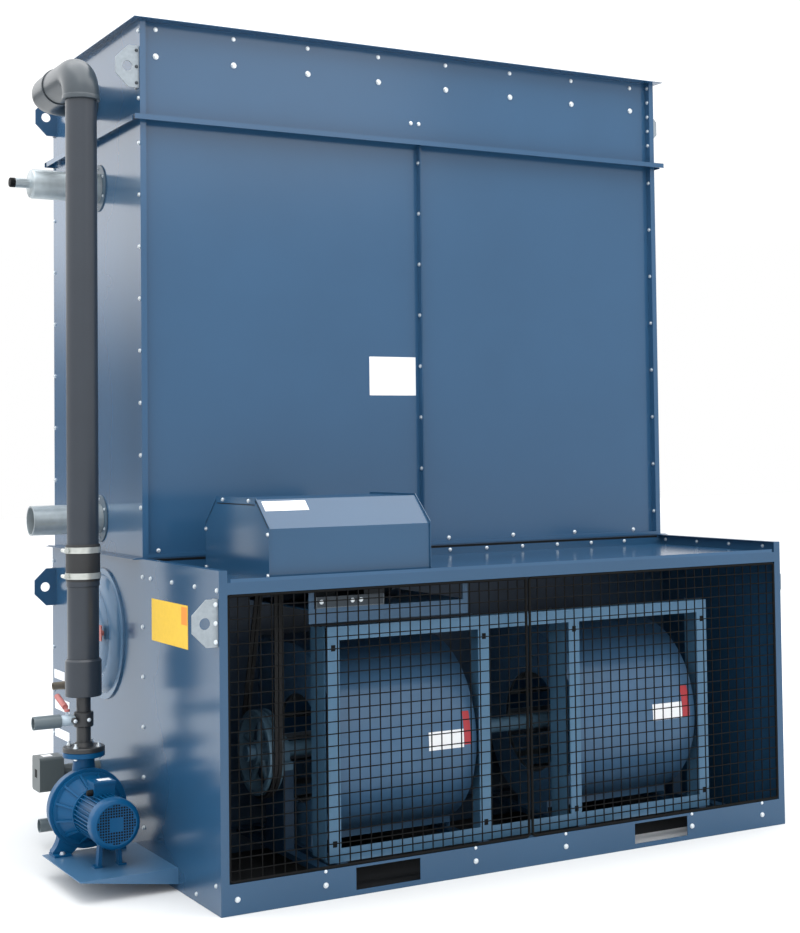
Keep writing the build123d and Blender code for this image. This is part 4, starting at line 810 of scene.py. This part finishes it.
# Each grille hole is a near-black square on the cowl's face: painted shade.
cowl_holes = [
    (
        (riser_x + x - hole_half, riser_x + x + hole_half),
        (grille_face - hair, grille_face),
        (axis_z + z - hole_half, axis_z + z + hole_half),
    )
    for x in steps
    for z in steps
    if math.hypot(x, z) < grille_radius and max(abs(x), abs(z)) > square_half
]
piece("cowl_holes", slabs(cowl_holes), dark, smooth=False)
lid_plate = ((riser_x - 0.015, riser_x + 0.040), (-0.395, -0.350), (lid_top, lid_top + hair))
piece("terminal_plate", slabs([lid_plate]), white, smooth=False)
gland_line = [(0, 0.014), (0.018, 0.014), (0.026, 0.010)]
gland = lathe((riser_x - box_half, -0.400, axis_z + 0.108), to_left, gland_line, sides=16)
piece("cable_gland", [gland], dark)

# Suction pipe: plastic pipe with a glued flange, bolted to the pump's back flange.
# It bends into the basin's wall.
suction_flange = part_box("suction_pipe")[0].y
suction_radius = 0.038
suction_bend = 0.070
bend_start = suction_flange + 0.048
turn = np.radians(np.linspace(0, 90, 9))
bend_x = riser_x + suction_bend * (1 - np.cos(turn))
bend_y = bend_start + suction_bend * np.sin(turn)
suction_path = np.vstack((
    (riser_x, suction_flange, axis_z),
    (riser_x, bend_start - 0.001, axis_z),
    np.column_stack((bend_x, bend_y, np.full(len(turn), axis_z))),
    (wall_left, bend_start + suction_bend, axis_z),
))
suction_line = [(0, 0.0925), (0.021, 0.0925), (0.023, 0.090)]
suction = [
    tube(suction_path, suction_radius, sides=36),
    lathe((riser_x, suction_flange, axis_z), to_back, suction_line, sides=48),
]
piece("suction_tube", suction, pvc, stands_for=["suction_pipe"])

# Basin heater: a moulded grey terminal box with a round-edged lid, screwed on a neck in the wall.
# It has a square port in its face and a plain white film on top.

# Polycarbonate, moulded: dark grey and satin.
dress(surface("box polycarbonate", "#4c5456", 0.4), "basin_heater")
heater_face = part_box("basin_heater")[0].x
heater_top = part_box("basin_heater")[1].z
# The port is a near-black square on the box's face: painted shade.
port = ((heater_face - hair, heater_face), (0.381, 0.419), (0.333, 0.371))
piece("heater_port", slabs([port]), dark, smooth=False)
heater_film = ((-1.745, -1.700), (0.375, 0.430), (heater_top, heater_top + hair))
piece("heater_plate", slabs([heater_film]), white, smooth=False)

# Drain stub and make-up nipple on the basin's wall: an open plastic pipe and an open brass one.
# Both are sealed into the sheet.
pipe_floor = 0.004
drain_length = wall_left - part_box("drain_stub")[0].x
drain_line = [(0, 0.0315), (drain_length, 0.0315), (drain_length, 0.0275), (pipe_floor, 0.0275), (pipe_floor, 0.001)]
drain = lathe((wall_left, *middle("drain_stub")[1:]), to_left, drain_line, sides=36)
piece("drain_tube", [drain], stub_grey, stands_for=["drain_stub"])
# Dull brass: brownish, with little glint.
brass = surface("dull brass", "#7d7466", 0.4, metallic=0.6)
nipple_line = [(0, 0.021), (0.030, 0.021), (0.030, 0.0195), (0.070, 0.0195), (0.070, 0.017)]
nipple_line += [(pipe_floor, 0.017), (pipe_floor, 0.001)]
makeup = lathe((wall_left, *middle("makeup_nipple")[1:]), to_left, nipple_line, sides=32)
piece("makeup_tube", [makeup], brass, stands_for=["makeup_nipple"])

# Inspection hatch: a pressed round steel cover with concentric ridges in a flat rim.
# A small red handle on it latches it to the wall.
hatch_line = [(0, 0.312), (0.008, 0.312), (0.010, 0.310), (0.010, 0.284), (0.020, 0.278), (0.036, 0.262)]
hatch_line += [(0.044, 0.240), (0.047, 0.226), (0.043, 0.218), (0.043, 0.206), (0.052, 0.196), (0.058, 0.170)]
hatch_line += [(0.062, 0.150), (0.062, 0.001)]
# Hatch enamel: the casing's blue, a little greyer.
hatch_enamel = surface("hatch enamel", "#45637f", 0.2)
hatch = lathe((wall_left, *middle("inspection_hatch")[1:]), to_left, hatch_line, sides=96)
piece("hatch_cover", [hatch], hatch_enamel, stands_for=["inspection_hatch"])
hatch_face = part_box("inspection_hatch")[0].x
handle_stem = 0.014
grip_thickness = 0.006
handle = [lathe((hatch_face, 0.130, 1.020), to_left, [(0, 0.012), (handle_stem, 0.012)], sides=16)]
grip_depth = (hatch_face - handle_stem - grip_thickness, hatch_face - handle_stem)
handle += slabs([(grip_depth, (0.104, 0.152), (0.985, 1.058))])
piece("hatch_handle", handle, lever_red, smooth=False)

# Guards: square wire mesh in rod frames with rounded corners, welded and coated black, clamped over the opening.
# One object stands for each coarse CAD panel, with the real 50 mm grid.
wire = 0.0042
pitch = 0.05
rod = 0.0065
corner = 0.014
inset = rod + corner
wire_end = 0.004
# Powder coat: black, with hardly a glint.
guard_black = surface("guard powder coat", "#0a0b0c", 0.6, shine=0.1)
for node in ("guard_left", "guard_right"):
    low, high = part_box(node)
    middle_y = (low.y + high.y) / 2
    columns = np.linspace(low.x, high.x, round((high.x - low.x) / pitch) + 1)[1:-1]
    rows = np.linspace(low.z, high.z, round((high.z - low.z) / pitch) + 1)[1:-1]
    upright_z = (low.z + wire_end, high.z - wire_end)
    level_x = (low.x + wire_end, high.x - wire_end)
    wires = [((x - wire / 2, x + wire / 2), (middle_y, middle_y + wire), upright_z) for x in columns]
    wires += [(level_x, (middle_y - wire, middle_y), (z - wire / 2, z + wire / 2)) for z in rows]
    turn = np.radians((0, 90, 180, 270))[:, None] + np.radians(np.linspace(0, 90, 6))
    corner_x = np.array((high.x - inset, low.x + inset, low.x + inset, high.x - inset))[:, None]
    corner_z = np.array((high.z - inset, high.z - inset, low.z + inset, low.z + inset))[:, None]
    loop_x = corner_x + corner * np.cos(turn)
    loop_z = corner_z + corner * np.sin(turn)
    loop = np.column_stack((loop_x.ravel(), np.full(turn.size, middle_y), loop_z.ravel()))
    frame_rod = tube(np.vstack((loop, loop[:1])), rod, sides=10, caps=False)
    mesh_shapes = slabs(wires) + [frame_rod]
    piece(node + "_mesh", mesh_shapes, guard_black, smooth=False, stands_for=[node])


# Floor and light: a pale studio floor, darker under the unit, and a white room that is dimmer at the left horizon.
# A wide ceiling lamp lights it from above, and a soft lamp in front lightens the upper panels.
def flat(name, x_limits, y_limits, z, material):
    """A level rectangle of the stage."""
    mesh = bpy.data.meshes.new(name)
    corners = [(x_limits[i], y_limits[j], z) for i, j in ((0, 0), (1, 0), (1, 1), (0, 1))]
    mesh.from_pydata(corners, [], [(0, 1, 2, 3)])
    mesh.materials.append(material)
    made = bpy.data.objects.new(name, mesh)
    bpy.context.scene.collection.objects.link(made)


# Studio paint: pale and matt.
flat("floor", (-40, 40), (-40, 40), -0.0005, surface("floor", "#d6d8d9", 0.9))
# Ground in shade: dark and matt. It starts further back at the right pocket.
footprint_shade = surface("footprint shade", "#15181b", 0.9)
flat("footprint", (-1.45, 0.45), (-1.15, 1.15), 0.0, footprint_shade)
flat("right footprint", (0.45, 1.45), (-0.95, 1.15), 0.0, footprint_shade)

world = bpy.data.worlds.new("studio")
bpy.context.scene.world = world
world.use_nodes = True
tree = world.node_tree
background = tree.nodes["Background"]
background.inputs["Color"].default_value = (1.0, 1.0, 1.0, 1.0)
direction = add_node(tree, "ShaderNodeTexCoord").outputs["Generated"]
parts = add_node(tree, "ShaderNodeSeparateXYZ", Vector=direction).outputs
leftness = add_node(
    tree, "ShaderNodeMapRange", Value=parts["X"], From_Min=-0.12, From_Max=0.1, To_Min=1.0, To_Max=0.0,
)
left_glow = add_node(
    tree, "ShaderNodeMapRange", Value=parts["Z"], From_Min=0.035, From_Max=0.14, To_Min=0.30, To_Max=2.0,
)
left_glow.interpolation_type = "SMOOTHSTEP"
room_glow = add_node(
    tree, "ShaderNodeMapRange", Value=parts["Z"], From_Min=0.12, From_Max=0.35, To_Min=1.0, To_Max=1.5,
)
strength = add_node(
    tree, "ShaderNodeMix", Factor=leftness.outputs["Result"],
    A=room_glow.outputs["Result"], B=left_glow.outputs["Result"],
)
tree.links.new(strength.outputs["Result"], background.inputs["Strength"])


def lamp(name, width, depth, watts, place):
    """An area lamp that shines down from its place."""
    light = bpy.data.lights.new(name, "AREA")
    light.shape = "RECTANGLE"
    light.size = width
    light.size_y = depth
    light.energy = watts
    made = bpy.data.objects.new(name, light)
    made.location = place
    bpy.context.scene.collection.objects.link(made)
    return made


lamp("ceiling", 12.0, 10.0, 800.0, (1.0, -1.0, 9.0))
glow_place = Vector((3.2, -11.0, 6.6))
glow_target = Vector((-0.8, 0.0, 3.2))
glow = lamp("front glow", 5.0, 3.2, 60.0, glow_place)
glow.rotation_euler = (glow_target - glow_place).to_track_quat("-Z", "Y").to_euler()

# Camera: at eye height off the front left corner, with a small shift so that the uprights stay nearly upright.
# Its place, angles and focal length come from a fit to the edges of the unit.
image_width = 800
image_height = 933
focal_pixels = 1639.0
centre_pixel = (480.0, 387.0)
camera_place = Vector((-3.933, -7.400, 1.857))
turn = math.radians(30.68)
tilt = math.radians(2.16)
roll = math.radians(-0.77)
forward = Vector((math.sin(turn) * math.cos(tilt), math.cos(turn) * math.cos(tilt), math.sin(tilt)))
level_right = Vector((math.cos(turn), -math.sin(turn), 0.0))
level_up = level_right.cross(forward)
right = level_right * math.cos(roll) + level_up * math.sin(roll)
up = level_up * math.cos(roll) - level_right * math.sin(roll)
optics = bpy.data.cameras.new("camera")
optics.sensor_width = 36.0
optics.lens = focal_pixels * optics.sensor_width / image_height
optics.shift_x = (image_width / 2 - centre_pixel[0]) / image_height
optics.shift_y = (centre_pixel[1] - image_height / 2) / image_height
optics.clip_end = 200.0
camera = bpy.data.objects.new("camera", optics)
camera.matrix_world = Matrix.Translation(camera_place) @ Matrix((right, up, -forward)).transposed().to_4x4()
bpy.context.scene.collection.objects.link(camera)
bpy.context.scene.camera = camera
bpy.context.scene.view_settings.view_transform = "Standard"
